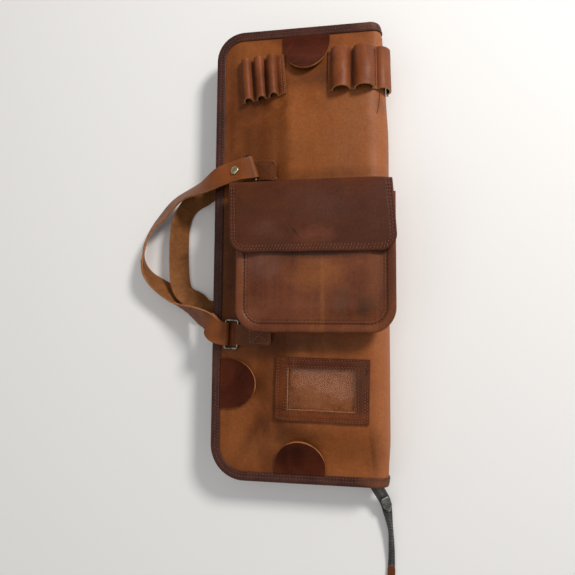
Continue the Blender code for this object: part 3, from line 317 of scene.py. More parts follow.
def leatherMaterial(name):
    tone = dict(zip(leatherColumns, leatherRows[name]))
    dark, base, light = tone["dark"], tone["base"], tone["light"]
    made, tree, place = placedMaterial(name)
    patches = noiseNode(tree, place, tone["patches"], 5.0, 0.62, 0.8)
    colour = rampNode(tree, patches, (0.3, dark), (0.5, base), (0.74, light))
    streakPlace = addNode(tree, "Mapping", {"Vector": place, "Scale": tone["streaks"]}).outputs["Vector"]
    streaks = noiseNode(tree, streakPlace, 1.0, 4.0, 0.6, 0.5)
    streakColour = rampNode(tree, streaks, (0.34, dark), (0.52, base), (0.7, light))
    colour = mixNode(tree, tone["streakShare"], colour, streakColour)
    if name == "coverTan":
        x = addNode(tree, "SeparateXYZ", {0: place}).outputs["X"]
        # lighter towards the spine, painted highlight where the spine starts to round, painted shade at the
        # zip edge
        for start, end, strength, tint in coverPaintedLightAndShade:
            colour = mixNode(tree, rangeNode(tree, x, start, end, 0.0, strength), colour, tint)
    ragged = rangeNode(tree, noiseNode(tree, place, 55.0, 4.0, 0.6), 0.3, 0.7, -0.35, 0.35)
    # stains and tone, and the table's painted shadows and painted sheens
    for middle, half, turn, tint, strength in leatherMarksAndPaintedLight.get(name, []):
        spot = addNode(tree, "Mapping", {"Vector": place, "Location": (*middle, 0), "Scale": (*half, 10),
                                         "Rotation": (0, 0, radians(turn))}, vector_type="TEXTURE")
        away = addNode(tree, "VectorMath", {0: spot.outputs["Vector"]}, operation="LENGTH").outputs["Value"]
        reach = mathNode(tree, "ADD", away, ragged)
        colour = mixNode(tree, rangeNode(tree, reach, 0.15, 1.15, strength, 0.0), colour, tint)
    fleck = rangeNode(tree, noiseNode(tree, place, 420.0, 3.0, 0.7), 0.3, 0.7, 0.86, 1.14)
    flecks = addNode(tree, "CombineColor", {0: fleck, 1: fleck, 2: fleck}).outputs[0]
    colour = mixNode(tree, 1.0, colour, flecks, "MULTIPLY")
    # rubbed edges show the lighter leather, and painted shade darkens the hollows
    surfacePointiness = addNode(tree, "NewGeometry", {}).outputs["Pointiness"]
    colour = mixNode(tree, rangeNode(tree, surfacePointiness, 0.52, 0.62, 0.0, tone["wear"]), colour, light)
    paintedHollowShade = rangeNode(tree, surfacePointiness, 0.38, 0.485, 0.75, 0.0)
    colour = mixNode(tree, paintedHollowShade, colour, tuple(part * 0.45 for part in dark))
    grain = addNode(tree, "TexVoronoi", {"Vector": place, "Scale": 950.0}).outputs["Distance"]
    pores = mathNode(tree, "MULTIPLY", noiseNode(tree, place, 260.0, 4.0, 0.65), 1.6)
    return finishMaterial(made, {
        "Base Color": colour,
        "Roughness": rangeNode(tree, patches, 0.3, 0.7, tone["rough"][1], tone["rough"][0]),
        "Specular IOR Level": tone["shine"],
        "Normal": bumpNode(tree, mathNode(tree, "ADD", grain, pores), 0.3, 0.00035),
    })


def threadMaterial(name, dark, light):
    made, tree, place = placedMaterial(name)
    twist = noiseNode(tree, place, 900.0, 2.0)
    return finishMaterial(made, {"Base Color": rampNode(tree, twist, (0.35, dark), (0.65, light)),
                                 "Roughness": 0.62, "Normal": bumpNode(tree, twist, 0.5, 0.0002)})


def metalMaterial(name, dark, light, roughness, wearScale):
    made, tree, place = placedMaterial(name)
    tarnish = noiseNode(tree, place, wearScale, 4.0, 0.65)
    return finishMaterial(made, {
        "Base Color": rampNode(tree, tarnish, (0.4, dark), (0.66, light)), "Metallic": 1.0,
        "Roughness": rangeNode(tree, tarnish, 0.3, 0.7, roughness[1], roughness[0])})


def clothMaterial(name, dark, light, rib):
    made, tree, place = placedMaterial(name)
    ribs = [addNode(tree, "TexWave", {"Vector": place, "Scale": rib}, bands_direction=way).outputs["Fac"]
            for way in "YX"]
    colour = rampNode(tree, noiseNode(tree, place, 150.0), (0.35, dark), (0.65, light))
    weave = bumpNode(tree, mathNode(tree, "MULTIPLY", *ribs), 0.6, 0.0003)
    inputs = {"Base Color": colour, "Roughness": 0.82, "Sheen Weight": 0.25, "Normal": weave}
    return finishMaterial(made, inputs)


threadRows = {
    "darkThread": ((0.012, 0.006, 0.005), (0.04, 0.018, 0.012)),
    "brownThread": ((0.03, 0.01, 0.006), (0.085, 0.03, 0.014)),
    "bindingThread": ((0.04, 0.014, 0.009), (0.15, 0.056, 0.034)),
    "rustThread": ((0.085, 0.026, 0.011), (0.21, 0.072, 0.034)),
    "paleThread": ((0.2, 0.085, 0.04), (0.38, 0.19, 0.1)),
}
metalRows = {
    "oldBrass": ((0.36, 0.3, 0.16), (0.62, 0.56, 0.37), (0.22, 0.42), 240.0),
    "nickelWire": ((0.05, 0.045, 0.038), (0.32, 0.3, 0.26), (0.18, 0.4), 180.0),
    "zipGrey": ((0.16, 0.16, 0.15), (0.4, 0.4, 0.38), (0.26, 0.48), 200.0),
}
looks = {name: leatherMaterial(name) for name in leatherRows}
looks.update({name: threadMaterial(name, *row) for name, row in threadRows.items()})
looks.update({name: metalMaterial(name, *row) for name, row in metalRows.items()})
looks["zipCloth"] = clothMaterial("zipCloth", (0.011, 0.01, 0.008), (0.034, 0.031, 0.024), 520.0)
looks["clearFilm"] = finishMaterial(newMaterial("clearFilm"), {
    "Base Color": (0.93, 0.88, 0.82), "Transmission Weight": 1.0, "IOR": 1.22, "Roughness": 0.05})


# Mesh helpers

def addMesh(name, points, faces, materials, faceLooks=None, sharp=48):
    mesh = bpy.data.meshes.new(name)
    mesh.from_pydata([tuple(point) for point in points], [], faces)
    for look in materials:
        mesh.materials.append(looks[look])
    if faceLooks:
        mesh.polygons.foreach_set("material_index", faceLooks)
    edit = bmesh.new()
    edit.from_mesh(mesh)
    bmesh.ops.remove_doubles(edit, verts=edit.verts, dist=1e-6)
    bmesh.ops.recalc_face_normals(edit, faces=edit.faces)
    edit.to_mesh(mesh)
    edit.free()
    mesh.shade_smooth()
    mesh.set_sharp_from_angle(angle=radians(sharp))
    made = bpy.data.objects.new(name, mesh)
    bpy.context.scene.collection.objects.link(made)
    return made


def place(piece, slot, *nodes):
    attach(piece, "root")
    if nodes:
        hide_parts(*nodes)
    return piece


def roundEdges(piece, width):
    bevel = piece.modifiers.new("roundedEdges", "BEVEL")
    bevel.width = width
    bevel.segments = 2
    bevel.limit_method = "ANGLE"
    bevel.angle_limit = radians(50)
    bevel.harden_normals = False
    return piece


def gridNormal(rows, i, j):
    along = rows[min(i + 1, len(rows) - 1)][j] - rows[max(i - 1, 0)][j]
    normal = aheadAt(rows[i], j).cross(along)
    return normal.normalized() if normal.length > 1e-12 else up.copy()


def slab(name, rows, thickness, materials, innerRows=None):
    # face, rim and back are materials 0, 1 and 2
    inner = innerRows or [[point - gridNormal(rows, i, j) * thickness for j, point in enumerate(row)]
                          for i, row in enumerate(rows)]
    width, count = len(rows[0]), len(rows)
    points = [point for row in rows + inner for point in row]
    shift = width * count
    faces, faceLooks = [], []
    rimLook, back = (1, 2) if len(materials) > 1 else (0, 0)
    for i in range(count - 1):
        for low in range(i * width, i * width + width - 1):
            faces.append((low, low + 1, low + width + 1, low + width))
            faces.append((shift + low, shift + low + width, shift + low + width + 1, shift + low + 1))
            faceLooks += [0, back]
    rim = [(j, j + 1) for j in range(width - 1)]
    rim += [((count - 1) * width + j + 1, (count - 1) * width + j) for j in range(width - 1)]
    rim += [((i + 1) * width, i * width) for i in range(count - 1)]
    rim += [(i * width + width - 1, (i + 1) * width + width - 1) for i in range(count - 1)]
    for a, b in rim:
        faces.append((b, a, shift + a, shift + b))
        faceLooks.append(rimLook)
    kept = [index for index, face in enumerate(faces)
            if len({tuple(round(c, 6) for c in points[k]) for k in face}) > 2]
    return addMesh(name, points, [faces[index] for index in kept], materials,
                   [faceLooks[index] for index in kept])


def sweep(name, sections, materials, sectionLooks=None, closed=False):
    size, count = len(sections[0]), len(sections)
    points = [point for section in sections for point in section]
    faces, faceLooks = [], []
    for i in range(count if closed else count - 1):
        following = (i + 1) % count
        for j in range(size):
            k = (j + 1) % size
            faces.append((i * size + j, i * size + k, following * size + k, following * size + j))
            faceLooks.append(sectionLooks[j] if sectionLooks else 0)
    if not closed:
        faces += [tuple(range(size))[::-1], tuple((count - 1) * size + j for j in range(size))]
        faceLooks += [len(materials) - 1] * 2
    return addMesh(name, points, faces, materials, faceLooks)


def ribbon(name, centres, acrosses, widths, thickness, materials, sideOfFace=1):
    # face, cut edge and flesh side are materials 0, 1 and 2
    sections, soft, rise = [], 0.32, thickness / 2
    for index, (centre, across, width) in enumerate(zip(centres, acrosses, widths)):
        normal, half = aheadAt(centres, index).cross(across).normalized() * sideOfFace, width / 2
        flat = 1 - soft * rise / half
        outline = [(-1, -soft), (-1, soft), (-flat, 1), (flat, 1),
                   (1, soft), (1, -soft), (flat, -1), (-flat, -1)]
        sections.append([centre + across * half * x + normal * rise * z for x, z in outline])
    return sweep(name, sections, materials, [1, 1, 0, 1, 1, 1, 2, 1])


def gridTree(rows):
    width = len(rows[0])
    points = [point for row in rows for point in row]
    faces = [(i * width + j, i * width + j + 1, (i + 1) * width + j + 1, (i + 1) * width + j)
             for i in range(len(rows) - 1) for j in range(width - 1)]
    return BVHTree.FromPolygons(points, faces)


def circle(centre, side, other, radius, count):
    return [centre + (side * cos(angle) + other * sin(angle)) * radius
            for angle in spread(0, 2 * pi, count)[:-1]]


def addStack(points, faces, rings):
    # one closed skin over a stack of rings
    base, sides = len(points), len(rings[0])
    last = base + (len(rings) - 1) * sides
    for ring in rings:
        points += ring
    for low in range(base, last, sides):
        for k in range(sides):
            a, b = low + k, low + (k + 1) % sides
            faces.append((a, b, b + sides, a + sides))
    faces += [tuple(range(base, base + sides))[::-1], tuple(range(last, last + sides))]


def resampled(line, step):
    # line is a list of points with normals; evenly spaced points, normals and directions come back
    lengths = [0.0]
    for (a, _), (b, _) in zip(line, line[1:]):
        lengths.append(lengths[-1] + (b - a).length)
    total = lengths[-1]
    count = max(int(total / step), 1)
    found, index = [], 0
    for k in range(count):
        want = total * (k + 0.5) / count
        while lengths[index + 1] < want:
            index += 1
        share = (want - lengths[index]) / max(lengths[index + 1] - lengths[index], 1e-9)
        (a, na), (b, nb) = line[index], line[index + 1]
        found.append((a.lerp(b, share), na.lerp(nb, share).normalized(), (b - a).normalized()))
    return found


# share of half a stitch's length, share of its radius and height in radii
stitchProfile = [(-1, 0.35, -0.9), (-0.6, 0.88, -0.1), (0, 1, 0.25), (0.6, 0.88, -0.1), (1, 0.35, -0.9)]


def stitches(name, lines, look, slot, pitch=0.0033, length=0.0024, radius=0.00042, slant=0.0, lift=0.00012):
    points, faces = [], []
    for line in lines:
        for centre, normal, ahead in resampled(line, pitch):
            side = normal.cross(ahead).normalized()
            turn = radians(slant + random.uniform(-5, 5))
            along = ahead * cos(turn) + side * sin(turn)
            aside = normal.cross(along).normalized()
            reach = length / 2 * random.uniform(0.92, 1.08)
            rings = [circle(centre + along * reach * share + normal * (lift + radius * high), aside, normal,
                            radius * wide, 5) for share, wide, high in stitchProfile]
            addStack(points, faces, rings)
    return place(addMesh(name, points, faces, [look], sharp=180), slot)


def teeth(name, line, form, *nodes):
    # both halves by turns; tooth: half length, half depth and height; aside and rise: fixed and by turns
    points, faces = [], []
    long, deep, tall = form["tooth"]
    (aside, asideTurn), (rise, riseTurn) = form["aside"], form["rise"]
    for index, (centre, normal, ahead) in enumerate(resampled(line, form["pitch"] / 2)):
        side, turn = normal.cross(ahead).normalized(), 1 if index % 2 else -1
        middle = centre + side * (aside + asideTurn * turn) + normal * (rise + riseTurn * turn)
        rings = [[middle + normal * tall * level + (ahead * long * a + side * deep * b) * shrink
                  for a, b in ((-1, -1), (1, -1), (1, 1), (-1, 1))] for level, shrink in form["levels"]]
        addStack(points, faces, rings)
    place(addMesh(name, points, faces, ["zipGrey"], sharp=35), "nickel", *nodes)


# Form of the closed bag

def halfThickness(x, y):
    fromZip = alongRows(edgeTaper, (x + halfWidth) / bag["width"])
    pastBinding = halfLength - abs(y) - bag["bindingReach"] - bag["leather"]
    fromEnd = 1 - ease(pastBinding / (bag["endTaper"] - bag["bindingReach"] - bag["leather"]))
    return midHeight - taperDrop * (1 - (1 - fromZip) * (1 - fromEnd))


def spineRadius(y):
    return halfThickness(bag["width"], y)


def arcStart(y):
    return bag["width"] * (0.5 - alongRows(spineDraw, 2 * y / bag["length"])) - spineRadius(y)


def cornerAt(y):
    return bag["cornerTop"] if y > 0 else bag["cornerBottom"]


def zipEdge(y):
    radius = cornerAt(y)
    into = abs(y) - (halfSheet - radius)
    if into <= 0:
        return sheetEdge
    return sheetEdge + radius - sqrt(max(radius ** 2 - into ** 2, 0.0))


def dents(x, y):
    depth = 0.0
    for across, along, halfAcross, halfAlong, share in coverDents:
        away = hypot((x / bag["width"] - across) / halfAcross, (y / bag["length"] - along) / halfAlong)
        depth += share * bag["leather"] * (1 - ease(away))
    return depth


# two ends, half width and depth
coverCreases = [
    ((0.0683, -0.1743), (0.0728, -0.216), 0.003, 0.0011),
    ((0.064, -0.205), (0.07, -0.219), 0.004, 0.0007),
    ((-0.01, 0.142), (0.03, 0.136), 0.005, 0.0004),
    ((-0.06, 0.115), (-0.03, 0.121), 0.006, 0.0003),
]


def creaseDepth(x, y, crease):
    (ax, ay), (bx, by), half, depth = crease
    length, runOut = hypot(bx - ax, by - ay), 0.15
    share = ((x - ax) * (bx - ax) + (y - ay) * (by - ay)) / length ** 2
    aside = abs((x - ax) * (by - ay) - (y - ay) * (bx - ax)) / length
    if not -runOut < share < 1 + runOut:
        return 0.0
    fade = ease(min(share + runOut, 1 + runOut - share) / (2 * runOut))
    return depth * fade * (1 - ease(aside / half))


def coverRelief(x, y):
    waves = noiseAt(x * 22, y * 22, 3.1, 0.00045) + noiseAt(x * 75, y * 75, 8.4, 0.00013)
    fade = ease((halfLength - abs(y) - 0.006) / 0.012) * ease((x + 0.08) / 0.01)
    return (waves - sum(creaseDepth(x, y, crease) for crease in coverCreases)) * fade


def coverPoint(s, y, lift=0.0):
    # s runs across the cover and on round the spine
    start, relief = arcStart(y), coverRelief(s, y)
    if s <= start:
        return Vector((s, y, midHeight + halfThickness(s, y) - dents(s, y) + relief + lift))
    radius = spineRadius(y)
    angle = (s - start) / radius
    reach = radius + lift - dents(start, y) * max(1 - angle, 0.0) + relief * max(1 - angle / 2.2, 0.0)
    return Vector((start + reach * sin(angle), y, midHeight + reach * cos(angle)))


coverGrid = {"rows": 150, "cornerRows": 14, "front": 78, "spine": 26, "back": 34}


def coverRows():
    rows, half = [], coverGrid["rows"] // 2
    for sign in (-1, 1):
        radius = cornerAt(sign)
        rows += [sign * (halfSheet - radius) * (k + 0.5) / half for k in range(half - 1)]
        rows += [sign * (halfSheet - radius * down) for _, down in quarterTurn(coverGrid["cornerRows"])]
    return sorted(rows)


def shellRow(y):
    edge, start, radius = zipEdge(y), arcStart(y), spineRadius(y)
    front = [coverPoint(x, y) for x in spread(edge, start, coverGrid["front"])]
    arc = [coverPoint(start + radius * pi * k / coverGrid["spine"], y)
           for k in range(1, coverGrid["spine"])]
    back = [Vector((x, y, midHeight - halfThickness(x, y)))
            for x in reversed(spread(edge, start, coverGrid["back"]))]
    return front + arc + back


shellRows = [shellRow(y) for y in coverRows()]
shell = slab("coverLeather", shellRows, bag["leather"], ["coverTan", "cutEdge", "darkFlesh"])
place(shell, "tan_leather", "shell")
shellTree = gridTree(shellRows)
print("cover", len(shell.data.polygons))


def onCover(s, y, lift=0.0):
    base, above = coverPoint(s, y), coverPoint(s, y, midHeight)
    out = (above - base).normalized()
    found = shellTree.ray_cast(above, -out, bag["thickness"])
    return (found[0] or base) + out * lift


def aboveCover(x, y, lift=0.0):
    start, radius = arcStart(y), spineRadius(y)
    past = start + radius * asin(min(max((x - start) / radius, 0.0), 0.99))
    return onCover(past if x > start else x, y, lift)


def overCover(x, y, lift=0.0):
    # keeps its place on the plan, also beyond the spine
    return Vector((x, y, aboveCover(x, y).z + lift))


def underBack(x, y, lift=0.0):
    return Vector((x, y, midHeight - halfThickness(x, y) - lift))


def turnedSpot(piece, across, along):
    cosine, sine = cos(radians(piece["turn"])), sin(radians(piece["turn"]))
    return piece["x"] + across * cosine - along * sine, piece["y"] + across * sine + along * cosine


# Edge binding, folded over the sheet's edge, with two rows of stitches on each cover

binding = {"rows": (0.0018, 0.0048), "groove": 0.00034, "shoulder": 0.0009, "fold": 0.0006,
           "stitch": dict(pitch=0.003, length=0.0021, radius=0.0005)}
bindingInner = bag["bindingReach"] - rimDepth


def bindingSection(edge, inward, normal, ripple):
    inner, clear = bindingInner, bag["bindingClearance"]
    low, middle = -bag["leather"] - clear, -bag["leather"] / 2
    top, bottom = rimDepth + ripple, low - bag["bindingLeather"] - ripple
    first, second = (inner - row for row in binding["rows"])
    between, groove = (first + second) / 2, binding["groove"]
    shoulder, fold = binding["shoulder"], binding["fold"]
    outline = [
        (inner, clear), (inner + 0.0001, top - 0.0006), (inner - 0.0004, top - 0.0001),
        (first + shoulder, top), (first, top - groove), (between, top + 0.00005), (second, top - groove),
        (second - shoulder, top), (fold, top), (-rimDepth * 0.55, top - 0.0004),
        (-rimDepth * 0.93, middle + 0.0011), (-rimDepth, middle), (-rimDepth * 0.93, middle - 0.0011),
        (-rimDepth * 0.55, bottom + 0.0004), (fold, bottom), (second - shoulder, bottom),
        (second, bottom + groove), (between, bottom), (first, bottom + groove), (first + shoulder, bottom),
        (inner - 0.0004, bottom + 0.0001), (inner + 0.0001, bottom + 0.0006), (inner, low),
        (-clear, low), (-clear, clear),
    ]
    return [edge + inward * inset + normal * height for inset, height in outline]


def bindingEdge():
    # places round the sheet's edge: point, direction into the cover and outward normal
    rows, columns, frontCount = shellRows, len(shellRows[0]), coverGrid["front"] + 1

    def sideOf(point, normal):
        radius = cornerAt(point.y)
        turn = asin(min(max(abs(point.y) - (halfSheet - radius), 0.0) / radius, 1.0))
        return point, Vector((cos(turn), -copysign(sin(turn), point.y), 0)), normal

    def endOf(row, column):
        point = row[column]
        end = copysign(1, point.y)
        if column < frontCount:
            return point, Vector((0, -end, 0)), up
        if column >= columns - coverGrid["back"] - 1:
            return point, Vector((0, -end, 0)), -up
        angle = pi * (column - frontCount + 1) / coverGrid["spine"]
        shift = arcStart(point.y - end * bag["bindingReach"]) - arcStart(point.y)
        return (point, Vector((shift / bag["bindingReach"], -end, 0)),
                Vector((sin(angle), 0, cos(angle))))

    return ([sideOf(row[0], up) for row in rows]
            + [endOf(rows[-1], column) for column in range(1, columns - 1)]
            + [sideOf(row[-1], -up) for row in reversed(rows)]
            + [endOf(rows[0], column) for column in range(columns - 2, 0, -1)])


edgePlaces = bindingEdge()
sections = []
for point, inward, normal in edgePlaces:
    ripple = 0.00012 * noise.noise(point * 160) + 0.00006 * noise.noise(point * 500)
    sections.append(bindingSection(point, inward, normal, ripple))
place(sweep("edgeBinding", sections, ["bindingBrown"], closed=True), "binding_brown", "edge_binding")
seamHeight = rimDepth - binding["groove"]
bindingLines = [[(point + inward * (bindingInner - row) + normal * seamHeight, normal)
                 for point, inward, normal in edgePlaces + edgePlaces[:1]] for row in binding["rows"]]
bindingStitches = stitches("bindingStitches", bindingLines, "bindingThread", "binding_brown",
                           **binding["stitch"])
print("binding", len(bindingStitches.data.polygons))

# Zip: tapes tucked under the binding and separate teeth

zipper = {
    "inset": 0.0045, "topEnd": 0.0735, "bottomEnd": 0.0648, "sideReach": 0.18, "pitch": 0.0028,
    "tooth": (0.000589, 0.0012, 0.0034), "aside": (0.0004, 0), "rise": (0, 0.0009),
    "levels": ((-0.5, 0.78), (-0.3, 1), (0.3, 1), (0.5, 0.78)),
}


def zipPath(inset):
    top, left = halfLength - inset, -halfWidth + inset
    runs = {}
    for sign, end in ((1, zipper["topEnd"]), (-1, zipper["bottomEnd"])):
        bend = cornerAt(sign) - inset
        centre = Vector((left + bend, sign * (top - bend), 0))
        run = [Vector((end - (end - left - cornerAt(sign)) * share, sign * top, 0))
               for share in spread(0, 0.96, 12)]
        runs[sign] = run + [centre + Vector((-sin(turn), sign * cos(turn), 0)) * bend
                            for turn in spread(0, pi / 2, 14)]
    side = [Vector((left, y, 0)) for y in spread(zipper["sideReach"], -zipper["sideReach"], 20)]
    return runs[1] + side + runs[-1][::-1]


teeth("zipTeeth", [(point + up * midHeight, up) for point in zipPath(zipper["inset"])], zipper, "zip_teeth")
for nodeName in ("zip_tape_upper", "zip_tape_lower"):
    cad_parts[nodeName].data.materials.clear()
    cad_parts[nodeName].data.materials.append(looks["zipCloth"])
print("zip")

# Big pocket: front panel with its stitched rim, over a gusset

pocket = {
    "width": 0.1496, "height": 0.13, "depth": 0.024, "middleX": 0.0188, "bottomY": -0.0841, "corner": 0.024,
    "leather": 0.0022, "rim": 0.008, "puff": 0.0026, "edgeDrop": 0.001, "rimCrown": 0.0005,
    "rimWidth": 0.0074, "slope": 0.006, "foot": 0.007, "gussetLeather": 0.0018, "lip": 0.08, "sag": 0.0009,
    "grooves": ((0.0084, 0.0009, 0.0013), (0.0112, 0.0004, 0.0011)),   # inset, depth and half width
    "seam": dict(pitch=0.0034, length=0.0021, radius=0.00068),
    "secondSeam": dict(pitch=0.0032, length=0.0022, radius=0.00038),
}
frontHeight = bag["thickness"] + pocket["depth"]
pocketTop, gussetFoot = pocket["bottomY"] + pocket["height"], pocket["rim"] + pocket["slope"]
# close rows of points along an edge, where its grooves are
fineSteps = {"step": 0.0006, "panel": 23, "flap": 13}


def roundedInset(aside, down, radius):
    # distance in from an outline with rounded lower corners
    past, below = radius - aside, radius - down
    if past > 0 and below > 0:
        return radius - hypot(past, below)
    return min(aside, down)


def pocketInset(x, y):
    aside = pocket["width"] / 2 - abs(x - pocket["middleX"])
    return roundedInset(aside, y - pocket["bottomY"], pocket["corner"])


def panelPuff(x, y):
    fold = noiseAt(x * 70, y * 12, 1.7, 0.0005) + noiseAt(x * 30, y * 30, 5.2, 0.0004)
    inner = ease((pocketInset(x, y) - 0.01) / 0.015)
    return pocket["puff"] * inner * 0.9 + min(fold * inner, 0.00025)


def panelHeight(x, y):
    inset = max(pocketInset(x, y), 0.0)
    edge = pocket["edgeDrop"] * (1 - ease(inset / 0.0012))
    crown = pocket["rimCrown"] * sin(pi * min(inset / pocket["rimWidth"], 1.0))
    grooves = sum(depth * (1 - ease(abs(inset - middle) / half)) for middle, depth, half in pocket["grooves"])
    return frontHeight - edge + crown - grooves + panelPuff(x, y)


def edgeSteps(half, fine, wide):
    near = [fineSteps["step"] * k for k in range(fine)]
    return near + spread(near[-1] + fineSteps["step"], half, wide)


def panelRow(y, height):
    radius = pocket["corner"]
    down = max(pocket["bottomY"] + radius - y, 0.0)
    half = pocket["width"] / 2 - radius + sqrt(max(radius ** 2 - down ** 2, 0.0))
    insets = edgeSteps(half, fineSteps["panel"], 34)
    places = [pocket["middleX"] - half + inset for inset in insets]
    places += [pocket["middleX"] + half - inset for inset in reversed(insets[:-1])]
    return [Vector((x, y, height(x, y))) for x in places]


def panelBack(x, y):
    return frontHeight - pocket["leather"] + panelPuff(x, y)


panelYs = [pocket["bottomY"] + step for step in edgeSteps(pocket["height"], fineSteps["panel"], 70)]
pocketPanel = slab("pocketPanel", [panelRow(y, panelHeight) for y in panelYs], pocket["leather"],
                   ["pocketBrown", "pocketEdge", "darkFlesh"], [panelRow(y, panelBack) for y in panelYs])
place(pocketPanel, "pocket_brown", "pocket_front")


def pocketCurve(inset):
    half, bottom = pocket["width"] / 2 - inset, pocket["bottomY"] + inset
    radius = max(pocket["corner"] - inset, 0.004)
    curve = [(-half, y) for y in spread(pocketTop, bottom + radius, 24)[:-1]]
    curve += [(-half + radius * aside, bottom + radius * down) for aside, down in quarterTurn(12)]
    curve += [(x, bottom) for x in spread(radius - half, 0, 26)[1:]]
    curve += [(-x, y) for x, y in reversed(curve[:-1])]
    return [Vector((x + pocket["middleX"], y, 0)) for x, y in curve]


under = frontHeight - pocket["leather"] - seamGap
top, drop = up * under, up * (under - pocket["gussetLeather"])
raised = seamGap + pocket["gussetLeather"]
gussetInsets = (0.0, pocket["rim"] - pocket["gussetLeather"], gussetFoot - pocket["gussetLeather"],
                gussetFoot + pocket["foot"], gussetFoot, pocket["rim"])
sections = []
for rim, wall, low, foot, lowIn, wallIn in zip(*(pocketCurve(inset) for inset in gussetInsets)):
    sag = (foot - rim).normalized() * pocket["sag"] * noise.noise(rim * 45)
    sections.append([
        rim + top - up * 0.0004, rim + drop + up * 0.0004, rim.lerp(wall, pocket["lip"]) + drop, wall + drop,
        wall.lerp(low, 0.5) + up * (under + low.z) * 0.5 + sag + up * aboveCover(low.x, low.y).z * 0.5,
        overCover(low.x, low.y, seamGap), overCover(foot.x, foot.y, seamGap),
        overCover(foot.x, foot.y, raised), overCover(lowIn.x, lowIn.y, raised), wallIn + drop,
        wallIn.lerp(foot, pocket["lip"]) + top, rim.lerp(wall, pocket["lip"]) + top,
    ])
place(sweep("pocketGusset", sections, ["pocketBrown"]), "pocket_brown", "pocket_gusset")
for name, groove, look, form in (("pocketSeam", 0, "darkThread", "seam"),
                                 ("pocketSecondSeam", 1, "brownThread", "secondSeam")):
    curve = pocketCurve(pocket["grooves"][groove][0])
    line = [(Vector((p.x, p.y, panelHeight(p.x, p.y))), up) for p in curve]
    stitches(name, [line], look, "pocket_brown", **pocket[form])
print("pocket", len(pocketPanel.data.polygons))

# Flap over the pocket's mouth, from its root on the cover up and over

flap = {
    "rootWidth": 0.14, "topWidth": 0.1533, "bottomWidth": 0.1562, "middleX": 0.0139, "shift": 0.0034,
    "rootShift": 0.004, "length": 0.07, "bendY": 0.0605, "corner": 0.016, "leather": 0.0024,
    "clearance": 0.0006, "edgeDrop": 0.0007, "groove": 0.00034, "seamTop": 0.053,
    "seamRows": (0.0028, 0.0054), "bandRows": (0.003, 0.0058),
    "seam": dict(pitch=0.0031, length=0.0022, radius=0.0004),
    "band": dict(pitch=0.003, length=0.0034, radius=0.0004, slant=62, lift=0.0002),
}
# share of the length forward of the bend, share of the rise, share of the full width
flapProfile = [(0.17, 0, 0), (0.06, 0, 0), (-0.005, 0.12, 0.3), (-0.012, 0.45, 0.75), (0, 0.74, 1),
               (0.045, 0.9, 1), (0.15, 0.97, 1), (0.33, 1, 1), (0.56, 1, 1)]
flapCrown = frontHeight + pocket["puff"] + flap["clearance"] + flap["leather"]
flapLow = flap["bendY"] - flap["length"]
flapBend = flapLow + flap["corner"]


def flapSpan(y, widen=1.0):
    down = min(max((flap["bendY"] - y) / flap["length"], 0.0), 1.0)
    full = flap["topWidth"] + (flap["bottomWidth"] - flap["topWidth"]) * down
    width = flap["rootWidth"] + (full - flap["rootWidth"]) * widen
    return flap["middleX"] + flap["shift"] * down - (1 - widen) * flap["rootShift"], width / 2


def flapFace(x, y):
    # height of the lying part of the flap, with its edge, grooves and slight waves
    middle, half = flapSpan(y)
    inset = max(roundedInset(half - abs(x - middle), y - flapLow, flap["corner"]), 0.0)
    edge = flap["edgeDrop"] * (1 - ease(inset / 0.001))
    grooves = sum(flap["groove"] * (1 - ease(abs(inset - row) / 0.0011)) for row in flap["seamRows"])
    wave = noiseAt(x * 26, y * 26, 2.2, 0.0007) + noiseAt(x * 90, y * 90, 6.0, 0.0002)
    lifted = 0.0012 * ease((0.012 - abs(y - flapLow)) / 0.012) * (0.5 + 0.5 * sin(x * 70))
    return flapCrown - edge - grooves + max(wave, -0.0002) + lifted


flapRows = [(flap["bendY"] - row.x * flap["length"], min(row.y, 1.0), min(row.z, 1.0), 0.0)
            for row in smoothPath([Vector(entry) for entry in flapProfile], 6)]
flapRows += [(y, 1.0, 1.0, 0.0) for y in spread(flapRows[-1][0], flapBend, 7)[1:]]
flapRows += [(flapLow + flap["corner"] * down, 1.0, 1.0, flap["corner"] * aside)
             for aside, down in quarterTurn(18)[1:]]
flapGrid = []
for y, rise, widen, cut in flapRows:
    middle, half = flapSpan(y, widen)
    insets = edgeSteps(half - cut, fineSteps["flap"], 24)
    line = []
    for x in ([middle - half + cut + inset for inset in insets]
              + [middle + half - cut - inset for inset in reversed(insets[:-1])]):
        root = overCover(x, y, flap["leather"] + laidGap)
        line.append(root + up * (flapFace(x, y) - root.z) * rise)
    flapGrid.append(line)
flapPiece = slab("pocketFlap", flapGrid[::-1], flap["leather"], ["flapBrown", "darkEdge", "darkFlesh"])
place(flapPiece, "dark_leather", "pocket_flap")


def flapLine(inset, part):
    # down the left edge, along the bottom and up the right edge
    radius, bend = flap["corner"] - inset, 5
    middle, half = flapSpan(flapBend)
    left = [(flapSpan(y)[0] - flapSpan(y)[1] + inset, y) for y in spread(flap["seamTop"], flapBend, 20)]
    corner = [(middle - half + inset + radius * aside, flapLow + inset + radius * down)
              for aside, down in quarterTurn(2 * bend)[1:]]
    bottom = [(x, flapLow + inset)
              for x in spread(middle - half + flap["corner"], middle + half - flap["corner"], 40)]
    right = [(2 * flapSpan(y)[0] - x, y) for x, y in reversed(left + corner)]
    parts = {"left": left + corner[:bend + 1], "bottom": corner[bend:] + bottom + right[:bend],
             "right": right[bend - 1:]}
    return [(Vector((x, y, flapFace(x, y))), up) for x, y in parts[part]]


sideLines = [flapLine(row, part) for row in flap["seamRows"] for part in ("left", "right")]
stitches("flapSeam", sideLines, "rustThread", "dark_leather", **flap["seam"])
bandLines = [flapLine(row, "bottom") for row in flap["bandRows"]]
stitches("flapBand", bandLines, "rustThread", "dark_leather", **flap["band"])
print("flap", len(flapPiece.data.polygons))

# Half-round tabs held at the edge binding: place of the root, direction, width and length

